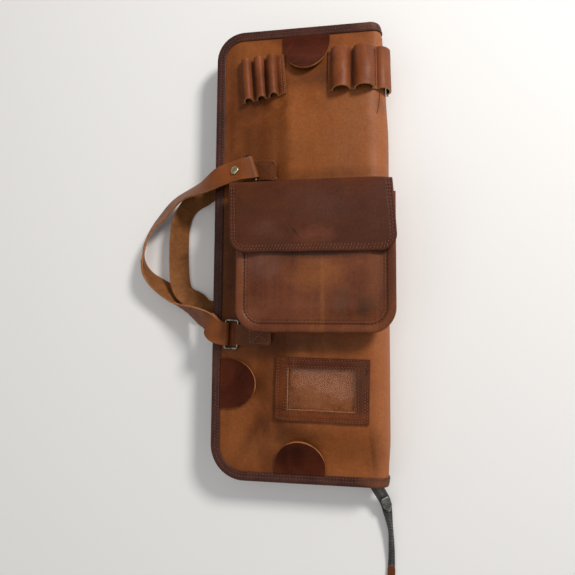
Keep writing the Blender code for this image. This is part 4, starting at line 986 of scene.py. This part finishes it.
edgeTabs = {"leather": 0.0017, "rise": 0.0058, "straight": 0.18, "lastTurn": 86, "wave": 0.0005,
            "rounded": 0.00035}
innerEnd = halfLength - bag["bindingReach"] - seamGap
innerSide = -halfWidth + bag["bindingReach"] + seamGap
tabPlaces = [
    ("edgeTabTop", "edge_tab_top", (0.0066, innerEnd), (0, -1), 0.0475, 0.042),
    ("edgeTabLeft", "edge_tab_left", (innerSide, -0.1349), (1, 0), 0.049, 0.0375),
    ("edgeTabBottom", "edge_tab_bottom", (0.0022, -innerEnd), (0, 1), 0.0492, 0.033),
]
for name, node, root, forward, width, length in tabPlaces:
    ahead, straight = Vector((*forward, 0)), edgeTabs["straight"]
    lastTurn = radians(edgeTabs["lastTurn"])
    across = Vector((abs(ahead.y), abs(ahead.x), 0))
    turned = [(straight + (1 - straight) * sin(turn) / sin(lastTurn), turn)
              for turn in spread(0, lastTurn, 26)]
    rows = []
    for share, turn in [(0.0, 0.0)] + turned:
        line = []
        for side in spread(-1.0, 1.0, 30):
            spot = Vector((*root, 0)) + ahead * length * share + across * width / 2 * cos(turn) * side
            wave = noiseAt(spot.x * 60, spot.y * 60, 4.4, edgeTabs["wave"]) * share
            lift = 3 * seamGap + edgeTabs["leather"] + edgeTabs["rise"] * share ** 2 + wave
            line.append(aboveCover(spot.x, spot.y, lift))
        rows.append(line)
    if across.cross(ahead).z < 0:
        rows = rows[::-1]
    tab = slab(name, rows, edgeTabs["leather"], ["tabRed", "cutEdge", "darkFlesh"])
    place(roundEdges(tab, edgeTabs["rounded"]), "dark_leather", node)
print("tabs")

# Two strips sewn down into three loops each; lastFlat is how much of its height the last loop has lost

loopSets = [
    dict(name="loopsSmall", node="loops_small", width=0.011, height=0.0094, pitch=0.0135, length=0.045,
         leather=0.0016, end=0.0066, x=-0.041, y=0.1762, turn=5.0, lastFlat=0.0, endRows=(0.0024, 0.005)),
    dict(name="loopsLarge", node="loops_large", width=0.0195, height=0.011, pitch=0.0222, length=0.046,
         leather=0.0019, end=0.002, x=0.0642, y=0.1782, turn=1.0, lastFlat=0.42, endRows=()),
]
loopSeam = dict(pitch=0.0031, length=0.0022, radius=0.00034)
endSeam = dict(pitch=0.0026, length=0.0013, radius=0.0005)


def loopProfile(strip):
    # across, rise of the inner face and share of the way up a loop
    wall, pitch = strip["leather"], strip["pitch"]
    inner, crown = strip["width"] / 2 - wall, strip["height"] - wall
    profile = [(-pitch * 1.5 - wall / 2, 0.0, 0.0)]
    for middle in (-pitch, 0, pitch):
        for angle in spread(pi, 0, 16):
            rise = sin(angle)
            profile.append((middle + inner * cos(angle), crown * rise ** 0.85, rise))
    start, last = profile[-1][0], pitch * 1.5 + strip["end"]
    return profile + [(start + (last - start) * share, 0.0, 0.0) for share in (0.35, 0.7, 1.0)]


def onStrip(strip, across, along, lift):
    x, y = turnedSpot(strip, across, along)
    return onCover(x, y, lift + laidGap), (onCover(x, y, 0.01) - onCover(x, y)).normalized()


for strip in loopSets:
    profile, wall, pitch = [Vector(row) for row in loopProfile(strip)], strip["leather"], strip["pitch"]
    outer, inner = [], []
    for along in spread(-strip["length"] / 2, strip["length"] / 2, 16):
        end = abs(along) / (strip["length"] / 2)
        outerRow, innerRow = [], []
        for index, (across, rise, bulge) in enumerate(profile):
            slope = aheadAt(profile, index).to_2d().normalized()
            swell = 1 + noiseAt(across * 90, along * 60, 9.0, 0.05) * bulge
            swell -= strip["lastFlat"] * ease((across - pitch * 0.5) / 0.004)
            drawn = along * (1 - 0.035 * bulge * end)
            high = max(rise * swell + slope.x * wall, wall if rise == 0.0 else 0.0)
            outerRow.append(onStrip(strip, across - slope.y * wall, drawn, high)[0])
            innerRow.append(onStrip(strip, across, drawn, rise * swell)[0])
        outer.append(outerRow)
        inner.append(innerRow)
    loops = slab(strip["name"], outer, wall, ["loopTan", "paleEdge", "darkFlesh"], inner)
    place(loops, "dark_leather", strip["node"])
    seams = [[onStrip(strip, across, along, wall) for along in spread(-0.02, 0.02, 20)]
             for across in (-pitch * 0.5, pitch * 0.5, pitch * 1.5)]
    stitches(strip["name"] + "Seams", seams, "darkThread", "dark_leather", **loopSeam)
    if strip["endRows"]:
        edgeRows = [[onStrip(strip, pitch * 1.5 + across, along, wall) for along in spread(-0.021, 0.021, 20)]
                    for across in strip["endRows"]]
        stitches(strip["name"] + "EndSeams", edgeRows, "paleThread", "dark_leather", **endSeam)
print("loops")

# Name card window: a stitched frame round a clear pane

window = {
    "width": 0.0908, "height": 0.0605, "x": 0.0236, "y": -0.1383, "turn": -1.0, "openWidth": 0.0636,
    "openHeight": 0.0384, "leather": 0.0018, "lift": 0.0011, "pane": 0.0004, "paneHalf": (0.0335, 0.0208),
    "rows": (0.13, 0.27, 0.73, 0.87), "groove": 0.00025, "steps": 34,
    "seam": dict(pitch=0.0029, length=0.0018, radius=0.00044),
}


def windowSpot(cx, cy, share, lift):
    # share runs from the outer edge to the opening; cx and cy go round the square
    halfWide = window["width"] / 2 + (window["openWidth"] - window["width"]) / 2 * share
    halfHigh = window["height"] / 2 + (window["openHeight"] - window["height"]) / 2 * share
    return aboveCover(*turnedSpot(window, cx * halfWide, cy * halfHigh), lift)


corners = ((1, 1), (-1, 1), (-1, -1), (1, -1))
squareRound = [(sx + (nx - sx) * share, sy + (ny - sy) * share)
               for (sx, sy), (nx, ny) in zip(corners, corners[1:] + corners[:1])
               for share in spread(0.0, 1.0, window["steps"])[:-1]]
low, high = window["lift"], window["lift"] + window["leather"]
section = [(0.0, low), (0.0, high - 0.0005), (0.035, high)]
for share in window["rows"]:
    section += [(share - 0.05, high), (share, high - window["groove"]), (share + 0.05, high)]
section += [(0.955, high + 0.0002), (0.985, high), (1.0, high - 0.0005), (1.0, low)]
sections = []
for cx, cy in squareRound:
    wave = noiseAt(cx * 3, cy * 3, 7.7, 0.0003)
    sections.append([windowSpot(cx, cy, share, lift + wave) for share, lift in section])
sectionLooks = [1] + [0] * (len(section) - 5) + [1, 1, 1, 0]
place(sweep("windowFrame", sections, ["windowBrown", "cutEdge"], sectionLooks, closed=True),
      "dark_leather", "window_frame")
windowLines = [[(windowSpot(cx, cy, share, high - 0.0002), up) for cx, cy in squareRound + squareRound[:1]]
               for share in window["rows"]]
stitches("windowSeam", windowLines, "rustThread", "dark_leather", **window["seam"])
paneWide, paneHigh = window["paneHalf"]


def panePoint(x, y):
    ripple = noiseAt(x * 40, y * 40, 1.0, 0.00014)
    return aboveCover(*turnedSpot(window, x, y), seamGap + window["pane"] + ripple)


paneRows = [[panePoint(x, y) for x in spread(-paneWide, paneWide, 30)]
            for y in spread(-paneHigh, paneHigh, 20)]
pane = slab("windowPane", paneRows, window["pane"], ["clearFilm"])
place(pane, "clear_film", "window_pane")
print("window")

# Straps, rings and the tabs that hold them

straps = {
    "width": 0.023, "leather": 0.0022, "back": 0.0235, "opening": 0.018, "wire": 0.003, "depth": 0.013,
    "play": 0.001, "bend": 0.0018, "tabWidth": 0.0205, "tabLeather": 0.0018, "tabOpening": 0.42,
    "tabHeading": 180, "steps": 10, "rivetFromFold": 0.016, "rivet": (0.009, 0.002), "stud": (0.0085, 0.0024),
    "stitch": dict(pitch=0.0027, length=0.0019, radius=0.00032),
}
# rows: share of the reach, share of half the span, height in strap widths, lean in degrees
# sizes: reach, span and middle; bars: end, place, heading and which way the ring lies
handles = [
    dict(name="Front", side=1, cover=aboveCover, sizes=(0.0863, 0.1676, -0.0023), tabLength=0.0355,
         studStep=110,
         bars=[("Upper", aboveCover(-0.0464, 0.0801, 0.01), 198.0, 1),
               ("Lower", aboveCover(-0.0741, -0.0861, 0.005), 178.0, -1)],
         rows=[(-0.368, 0.96, 2.13, 80), (-0.229, 0.934, 2, 77), (-0.085, 0.887, 1.95, 72),
               (0.137, 0.803, 1.65, 48), (0.374, 0.743, 1.22, 34), (0.578, 0.642, 0.88, 39),
               (0.739, 0.505, 0.67, 38), (0.867, 0.384, 0.58, 29), (0.959, 0.212, 0.557, 28),
               (0.998, 0.056, 0.545, 27), (0.994, -0.087, 0.53, 15), (0.936, -0.228, 0.522, -6),
               (0.826, -0.343, 0.525, -24), (0.71, -0.432, 0.52, -33), (0.611, -0.527, 0.5, -22),
               (0.524, -0.641, 0.53, 3), (0.397, -0.712, 0.76, 18), (0.231, -0.778, 1.17, 38),
               (0.068, -0.846, 1.59, 52), (-0.058, -0.962, 1.85, 82)]),
    dict(name="Back", side=-1, cover=underBack, sizes=(0.0464, 0.15, 0.006), tabLength=0.031, studStep=87,
         bars=[("Upper", underBack(-0.072, 0.0815, 0.0048), 195.0, -1),
               ("Lower", underBack(-0.072, -0.071, 0.0048), 166.0, -1)],
         rows=[(-0.103, 0.964, 0.165, -88), (0.177, 0.907, 0.2, -80), (0.41, 0.79, 0.29, -62),
               (0.62, 0.68, 0.44, -38), (0.79, 0.575, 0.47, -30), (0.905, 0.45, 0.47, -32),
               (0.972, 0.307, 0.445, -37), (0.998, 0.116, 0.435, -41), (0.994, -0.205, 0.432, -42),
               (0.959, -0.488, 0.425, -45), (0.88, -0.63, 0.42, -46), (0.74, -0.715, 0.39, -52),
               (0.58, -0.775, 0.31, -62), (0.414, -0.877, 0.235, -72), (0.134, -0.94, 0.175, -84),
               (-0.103, -0.984, 0.16, -88)]),
]
strapBend = straps["wire"] / 2 + seamGap + straps["leather"] / 2
tabBend = straps["wire"] / 2 + seamGap + straps["tabLeather"] / 2


def headingVector(degrees):
    return Vector((cos(radians(degrees)), sin(radians(degrees)), 0))


def apartAt(share, bend, leather):
    # gap between the middles of a fold's two layers, from the bar to where they lie together
    layer = leather + seamGap
    return layer + (2 * bend - layer) * (1 - ease(share))


def foldedEnd(bar, heading, side, centres, widths):
    across, outward = headingVector(heading + 90), headingVector(heading)
    returned, run = [], 0.0
    for index in range(1, len(centres)):
        run += (centres[index] - centres[index - 1]).length
        if run > straps["back"]:
            break
        normal = aheadAt(centres, index).cross(widths[index]).normalized()
        if normal.z * side < 0:
            normal = -normal
        apart = apartAt(run / straps["opening"], strapBend, straps["leather"])
        returned.append((centres[index] - normal * apart, widths[index]))
    fold = [(bar + up * side * strapBend * cos(angle) - outward * strapBend * sin(angle), across)
            for angle in turnsBetween(180, 20, 10)]
    return returned[::-1] + fold


def strapPath(handle):
    (reach, span, middleY), side, steps = handle["sizes"], handle["side"], straps["steps"]
    stations = [Vector((-halfWidth - out * reach, middleY + along * span / 2, height * straps["width"]))
                for out, along, height, _ in handle["rows"]]
    ends = [place + up * side * strapBend for _, place, _, _ in handle["bars"]]
    leans = [Vector((lean, 0, 0)) for lean in (90 * side, *(row[3] for row in handle["rows"]), 90 * side)]
    path, turns = smoothPath([ends[0], *stations, ends[1]], steps), smoothPath(leans, steps)
    widths = []
    for index, turn in enumerate(turns):
        ahead, lean = aheadAt(path, index), radians(turn.x)
        level = Vector((ahead.x, ahead.y, 0)).normalized()
        across = Vector((-level.y, level.x, 0)) * sin(lean) + up * cos(lean)
        along = ahead.normalized()
        widths.append((across - along * across.dot(along)).normalized())
    for end, onward, (_, _, heading, _) in zip((0, len(path) - 1), (1, -1), handle["bars"]):
        across = headingVector(heading + 90)
        aligned = across if across.dot(widths[end]) > 0 else -across
        for step in range(steps):
            index, share = end + onward * step, step / steps
            widths[index] = (aligned * (1 - share) + widths[index] * share).normalized()
    return path, widths


def buildStrap(handle):
    path, widths = strapPath(handle)
    side, ((_, upper, upperTurn, _), (_, lower, lowerTurn, _)) = handle["side"], handle["bars"]
    start = foldedEnd(upper, upperTurn, side, path, widths)
    end = foldedEnd(lower, lowerTurn, side, path[::-1], widths[::-1])
    centres, acrosses = [], []
    for centre, across in start + list(zip(path, widths)) + end[::-1]:
        centres.append(centre)
        acrosses.append(across if not acrosses or acrosses[-1].dot(across) > 0 else -across)
    middle = len(centres) // 2
    ahead = aheadAt(centres, middle)
    inward = Vector((-ahead.y, ahead.x, 0))
    sideOfFace = -1 if ahead.cross(acrosses[middle]).dot(inward) > 0 else 1
    strap = ribbon("handle" + handle["name"], centres, acrosses, [straps["width"]] * len(centres),
                   straps["leather"], ["strapTan", "cutEdge", "strapFlesh"], sideOfFace)
    place(strap, "strap_tan", "handle_" + handle["name"].lower())
    return path, widths


def buildRing(name, node, strapBar, tabBar, heading):
    across, toward = headingVector(heading + 90), tabBar - strapBar
    half, depth, bend = (straps["width"] + straps["wire"]) / 2 + straps["play"], toward.length, straps["bend"]
    toward.normalize()
    path = []
    for x, y, start in ((-half, 0.0, 270), (-half, depth, 180), (half, depth, 90), (half, 0.0, 0)):
        cx, cy = x + (bend if x < 0 else -bend), y + (bend if y <= 0 else -bend)
        path += [(cx + bend * cos(angle), cy + bend * sin(angle))
                 for angle in turnsBetween(start, start - 90, 6)]
    normal = across.cross(toward).normalized()
    sections = []
    for index, (x, y) in enumerate(path):
        before, after = path[index - 1], path[(index + 1) % len(path)]
        tangent = (across * (after[0] - before[0]) + toward * (after[1] - before[1])).normalized()
        centre = strapBar + across * x + toward * y
        sections.append(circle(centre, tangent.cross(normal), normal, straps["wire"] / 2, 14))
    place(sweep(name, sections, ["nickelWire"], closed=True), "nickel", node)


def buildTab(name, node, bar, heading, length, cover, side):
    endHeading, width = straps["tabHeading"], straps["tabWidth"]
    first = 2 * seamGap + straps["tabLeather"] / 2
    outward, inward = headingVector(heading), -headingVector(endHeading)
    low, high, shares = [], [], spread(1.0, 0.12, 22)
    for share in shares:
        run = length * share
        spot = bar - outward * run * (1 - share) + inward * run * share
        across = headingVector(heading + (endHeading - heading) * min(share * 2, 1.0) + 90)
        apart = apartAt(share / straps["tabOpening"], tabBend, straps["tabLeather"])
        low.append((cover(spot.x, spot.y, first), across))
        high.append((cover(spot.x, spot.y, first + apart), across))
    across = headingVector(heading + 90)
    bend = [(bar + up * side * tabBend * cos(angle) + outward * tabBend * sin(angle), across)
            for angle in turnsBetween(180, 0, 12)]
    whole = low + bend + high[::-1]
    sizes = [width * (1 - 0.42 * max(0.0, 1 - min(k, len(whole) - 1 - k) / 2.6) ** 2)
             for k in range(len(whole))]
    centres, acrosses = zip(*whole)
    tab = ribbon(name, centres, acrosses, sizes, straps["tabLeather"],
                 ["strapDark", "cutEdge", "darkFlesh"], -1)
    place(tab, "strap_tan", node)
    # box and cross of stitches on the upper layer
    half, face = width / 2 - 0.0022, up * side
    marks = [mark for mark, share in zip(high, shares) if 0.34 <= share <= 0.95]

    def seam(mark, aside):
        centre, across = mark
        return centre + across * half * aside + face * straps["tabLeather"] / 2, face

    edges = [[seam(mark, sign) for mark in marks] for sign in (-1, 1)]
    crosses = [[seam(mark, sign * aside) for mark, aside in zip(marks, spread(-1, 1, len(marks) - 1))]
               for sign in (-1, 1)]
    ends = [[seam(mark, aside) for aside in spread(-1, 1, 8)] for mark in (marks[0], marks[-1])]
    look = "paleThread" if name == "ringTabFrontLower" else "brownThread"
    stitches(name + "Seams", edges + crosses + ends, look, "strap_tan", **straps["stitch"])


def tabBarAt(strapBar, toward, cover):
    lift, depth = 3 * seamGap + straps["tabLeather"] + straps["wire"] / 2, straps["depth"]
    reach = depth
    for _ in range(12):
        spot = strapBar + toward * reach
        rise = cover(spot.x, spot.y, lift).z - strapBar.z
        reach = sqrt(max(depth ** 2 - rise ** 2, (0.6 * depth) ** 2))
    return cover(strapBar.x + toward.x * reach, strapBar.y + toward.y * reach, lift)


# share of the radius and of the height, from the rim up
domeProfile = [(0.9, 0.02), (0.99, 0.12), (1, 0.26), (0.97, 0.42), (0.88, 0.6), (0.74, 0.78), (0.54, 0.91),
               (0.3, 0.98), (0.08, 1)]


def dome(name, node, path, widths, index, diameter, height):
    ahead = path[index + 1] - path[index - 1]
    normal = ahead.cross(widths[index]).normalized()
    if normal.dot(Vector((-ahead.y, ahead.x, 0))) > 0:
        normal = -normal
    centre, side = path[index] + normal * straps["leather"] / 2, normal.orthogonal().normalized()
    sections = [circle(centre + normal * (seamGap + high * height), side, normal.cross(side),
                       diameter / 2 * wide, 32) for wide, high in domeProfile]
    place(sweep(name, sections, ["oldBrass"]), "brass", node)


for handle in handles:
    title, cover, side = handle["name"], handle["cover"], handle["side"]
    path, widths = buildStrap(handle)
    if title == "Front":
        run, index = 0.0, 0
        while run < straps["rivetFromFold"]:
            index += 1
            run += (path[index] - path[index - 1]).length
        dome("handleRivet", "handle_rivet", path, widths, index, *straps["rivet"])
    dome("stud" + title, "handle_stud_" + title.lower(), path, widths, handle["studStep"], *straps["stud"])
    for end, bar, heading, away in handle["bars"]:
        held = tabBarAt(bar, headingVector(heading) * away, cover)
        node = (title + "_" + end).lower()
        buildRing("ring" + title + end, "ring_" + node, bar, held, heading)
        buildTab("ringTab" + title + end, "ring_tab_" + node, held, heading, handle["tabLength"], cover, side)
print("straps")

# Zip tail with its teeth, slider and leather end tab

tail = {
    "length": 0.082, "width": 0.0115, "thickness": 0.0016, "mouth": 0.022, "fromSpine": 0.014, "steps": 12,
    "slider": (0.017, 0.0092, 0.0034), "clearance": 0.002, "endLength": 0.026, "endWidth": 0.0075,
    "endLeather": 0.0018, "pitch": 0.0028, "tooth": (0.0005, 0.0015, 0.0014), "aside": (0, 0.0007),
    "rise": (0.0004, 0), "levels": ((-0.5, 1), (0.2, 1), (0.5, 0.7)),
    "endSeam": dict(pitch=0.0026, length=0.0018, radius=0.0003),
}
# shares of the length past the bag and sideways, of the mouth's height and of the width, twist in degrees
tailRows = [(-0.09, -0.03, 1, 1, 0), (0, 0, 1, 1, 5), (0.13, 0.061, 0.62, 1, 12),
            (0.24, 0.11, 0.34, 0.95, 14), (0.35, 0.134, 0.25, 0.85, 25), (0.58, 0.171, 0.23, 0.6, 55),
            (0.83, 0.18, 0.14, 0.55, 20), (1, 0.177, 0.08, 0.6, 6)]
mouth = Vector((halfWidth - tail["fromSpine"], -halfLength, 0))
path = smoothPath([mouth + Vector((aside * tail["length"], -along * tail["length"], height * tail["mouth"]))
                   for along, aside, height, _, _ in tailRows], tail["steps"])
forms = smoothPath([Vector((wide * tail["width"], twist, 0)) for *_, wide, twist in tailRows], tail["steps"])
acrosses, normals = [], []
for index, form in enumerate(forms):
    ahead, twist = aheadAt(path, index).normalized(), radians(form.y)
    side = ahead.cross(up).normalized()
    across = side * cos(twist) + side.cross(ahead).normalized() * sin(twist)
    normal = across.cross(ahead).normalized()
    acrosses.append(across)
    normals.append(normal if normal.z > 0 else -normal)
tape = ribbon("zipTail", path, acrosses, [form.x for form in forms], tail["thickness"], ["zipCloth"] * 3)
place(tape, "zip_cloth", "zip_tail")
toothLine = [(point + normal * tail["thickness"] / 2, normal) for point, normal in zip(path, normals)]
teeth("tailTeeth", toothLine[tail["steps"]:], tail)
ahead, across, normal = (path[-1] - path[-3]).normalized(), acrosses[-1], normals[-1]
start = path[-1] + ahead * seamGap
lying = tail["endLeather"] / 2 + seamGap
sections = []
for share in spread(0, 1.0, 18):
    wide = 0.86 + 0.14 * ease(share / 0.15) if share < 0.5 else 1.0 - 0.55 * ease((share - 0.5) / 0.5) ** 1.6
    centre = start + Vector((ahead.x, ahead.y, 0)) * tail["endLength"] * share
    centre.z = start.z + (lying - start.z) * share
    half, rise = across * tail["endWidth"] / 2 * wide, normal * tail["endLeather"] / 2
    sections.append([centre + half * aside + rise * high for aside, high in (
        (-1, -0.5), (-0.93, -1), (0.93, -1), (1, -0.5), (1, 0.5), (0.93, 1), (-0.93, 1), (-1, 0.5))])
place(sweep("zipEndTab", sections, ["strapDark", "cutEdge"]), "dark_leather", "zip_end_tab")
endLine = [(section[5].lerp(section[6], 0.5), normal) for section in sections[2:-5]]
stitches("zipEndTabSeam", [endLine], "darkThread", "dark_leather", **tail["endSeam"])

# the slider lies where the tail's fourth row is: share of its length, of its width and of its height
sliderRows = [(-0.5, 0.58, 0.3), (-0.47, 0.7, 0.52), (-0.4, 0.9, 0.64), (-0.2, 0.98, 0.72), (-0.02, 1, 0.76),
              (0.05, 0.98, 1), (0.2, 0.8, 1), (0.27, 0.6, 0.76), (0.32, 0.55, 0.6), (0.46, 0.5, 0.46),
              (0.5, 0.42, 0.34)]
wanted, mouthY = tailRows[3][0] * tail["length"], path[tail["steps"]].y
index = min(range(len(path)), key=lambda k: abs(mouthY - path[k].y - wanted))
ahead, side, normal = aheadAt(path, index).normalized(), acrosses[index], normals[index]
long, wide, tall = tail["slider"]
base = path[index] + normal * (tail["thickness"] / 2 + tail["clearance"])
sections = []
for along, breadth, rise in sliderRows:
    centre, half, lift = base + ahead * long * along, side * wide / 2 * breadth, normal * tall * rise
    sections.append([centre + half * aside + lift * high for aside, high in (
        (-1, 0), (1, 0), (1, 0.7), (0.82, 0.9), (0.55, 1), (-0.55, 1), (-0.82, 0.9), (-1, 0.7))])
place(sweep("zipSlider", sections, ["zipGrey"]), "nickel", "zip_slider")
print("tail")

# Loose thread by the large loops and the thread end by the window: radius, height and places
looseThreads = [
    ("looseThread", 0.0003, 0.0004, [(0.0799, 0.1533), (0.0796, 0.1465), (0.0789, 0.14), (0.0779, 0.134),
                                     (0.0769, 0.1307)]),
    ("windowThread", 0.00028, 0.0036, [(0.065, -0.124), (0.0668, -0.1225), (0.0672, -0.1196),
                                       (0.066, -0.1178)]),
]
for name, radius, lift, places in looseThreads:
    line = smoothPath([aboveCover(x, y, lift) for x, y in places], 8)
    sections = [circle(point, aheadAt(line, k).normalized().cross(up).normalized(), up, radius, 8)
                for k, point in enumerate(line)]
    place(sweep(name, sections, ["darkThread"]), "dark_leather")
print("threads")

# Camera at the photograph's angle, fitted in the same frame

cameraFit = {
    "place": (0.0736, -0.0787, 0.544),
    "right": (0.9865, 0.0076, -0.1639),
    "up": (0.0049, 0.9971, 0.0758),
    "back": (0.164, -0.0756, 0.9836),
    "focal": 520 / 575,
    "sensor": 36,
}
camera = bpy.data.objects.new("camera", bpy.data.cameras.new("camera"))
bpy.context.scene.collection.objects.link(camera)
camera.data.sensor_width = cameraFit["sensor"]
camera.data.lens = cameraFit["sensor"] * cameraFit["focal"]
camera.data.clip_start = 0.01
axes = [Vector(cameraFit[name]).normalized() for name in ("right", "up", "back")]
for row in range(3):
    for column in range(3):
        camera.matrix_world[row][column] = axes[column][row]
    camera.matrix_world[row][3] = cameraFit["place"][row]
bpy.context.scene.camera = camera

# Pale floor and soft studio light

studio = {
    "floorHalf": 4, "floorDrop": 0.0004, "floorColour": (0.86, 0.855, 0.85), "floorRoughness": 0.8,
    "aim": Vector((0, 0, 0.02)), "skyColour": (1.0, 0.99, 0.98, 1), "skyStrength": 0.32,
    "lights": [   # place, diameter, power and colour
        ("keyLight", (1.05, 0.95, 1.2), 0.42, 27.0, (1.0, 0.97, 0.93)),
        ("fillLight", (-0.9, -0.6, 1.5), 1.4, 2.5, (1.0, 0.98, 0.96)),
        ("topLight", (0.0, 0.15, 2.2), 1.2, 5.0, (1.0, 0.99, 0.97)),
    ],
}
floorMesh = bpy.data.meshes.new("floor")
floorMesh.from_pydata([(x * studio["floorHalf"], y * studio["floorHalf"], 0)
                       for x, y in ((-1, -1), (1, -1), (1, 1), (-1, 1))], [], [(0, 1, 2, 3)])
floor = bpy.data.objects.new("floor", floorMesh)
bpy.context.scene.collection.objects.link(floor)
floor.location.z = cadBox[0][2] - studio["floorDrop"]
floorInputs = {"Base Color": studio["floorColour"], "Roughness": studio["floorRoughness"]}
floor.data.materials.append(finishMaterial(newMaterial("paleFloor"), floorInputs))
for name, where, size, power, colour in studio["lights"]:
    light = bpy.data.lights.new(name, "AREA")
    light.shape = "DISK"
    light.size = size
    light.energy = power
    light.color = colour
    holder = bpy.data.objects.new(name, light)
    holder.location = where
    holder.rotation_euler = (studio["aim"] - Vector(where)).to_track_quat("-Z", "Y").to_euler()
    bpy.context.scene.collection.objects.link(holder)
world = bpy.data.worlds.new("studio")
bpy.context.scene.world = world
world.use_nodes = True
sky = world.node_tree.nodes["Background"]
sky.inputs["Color"].default_value = studio["skyColour"]
sky.inputs["Strength"].default_value = studio["skyStrength"]
bpy.context.scene.view_settings.view_transform = "Standard"
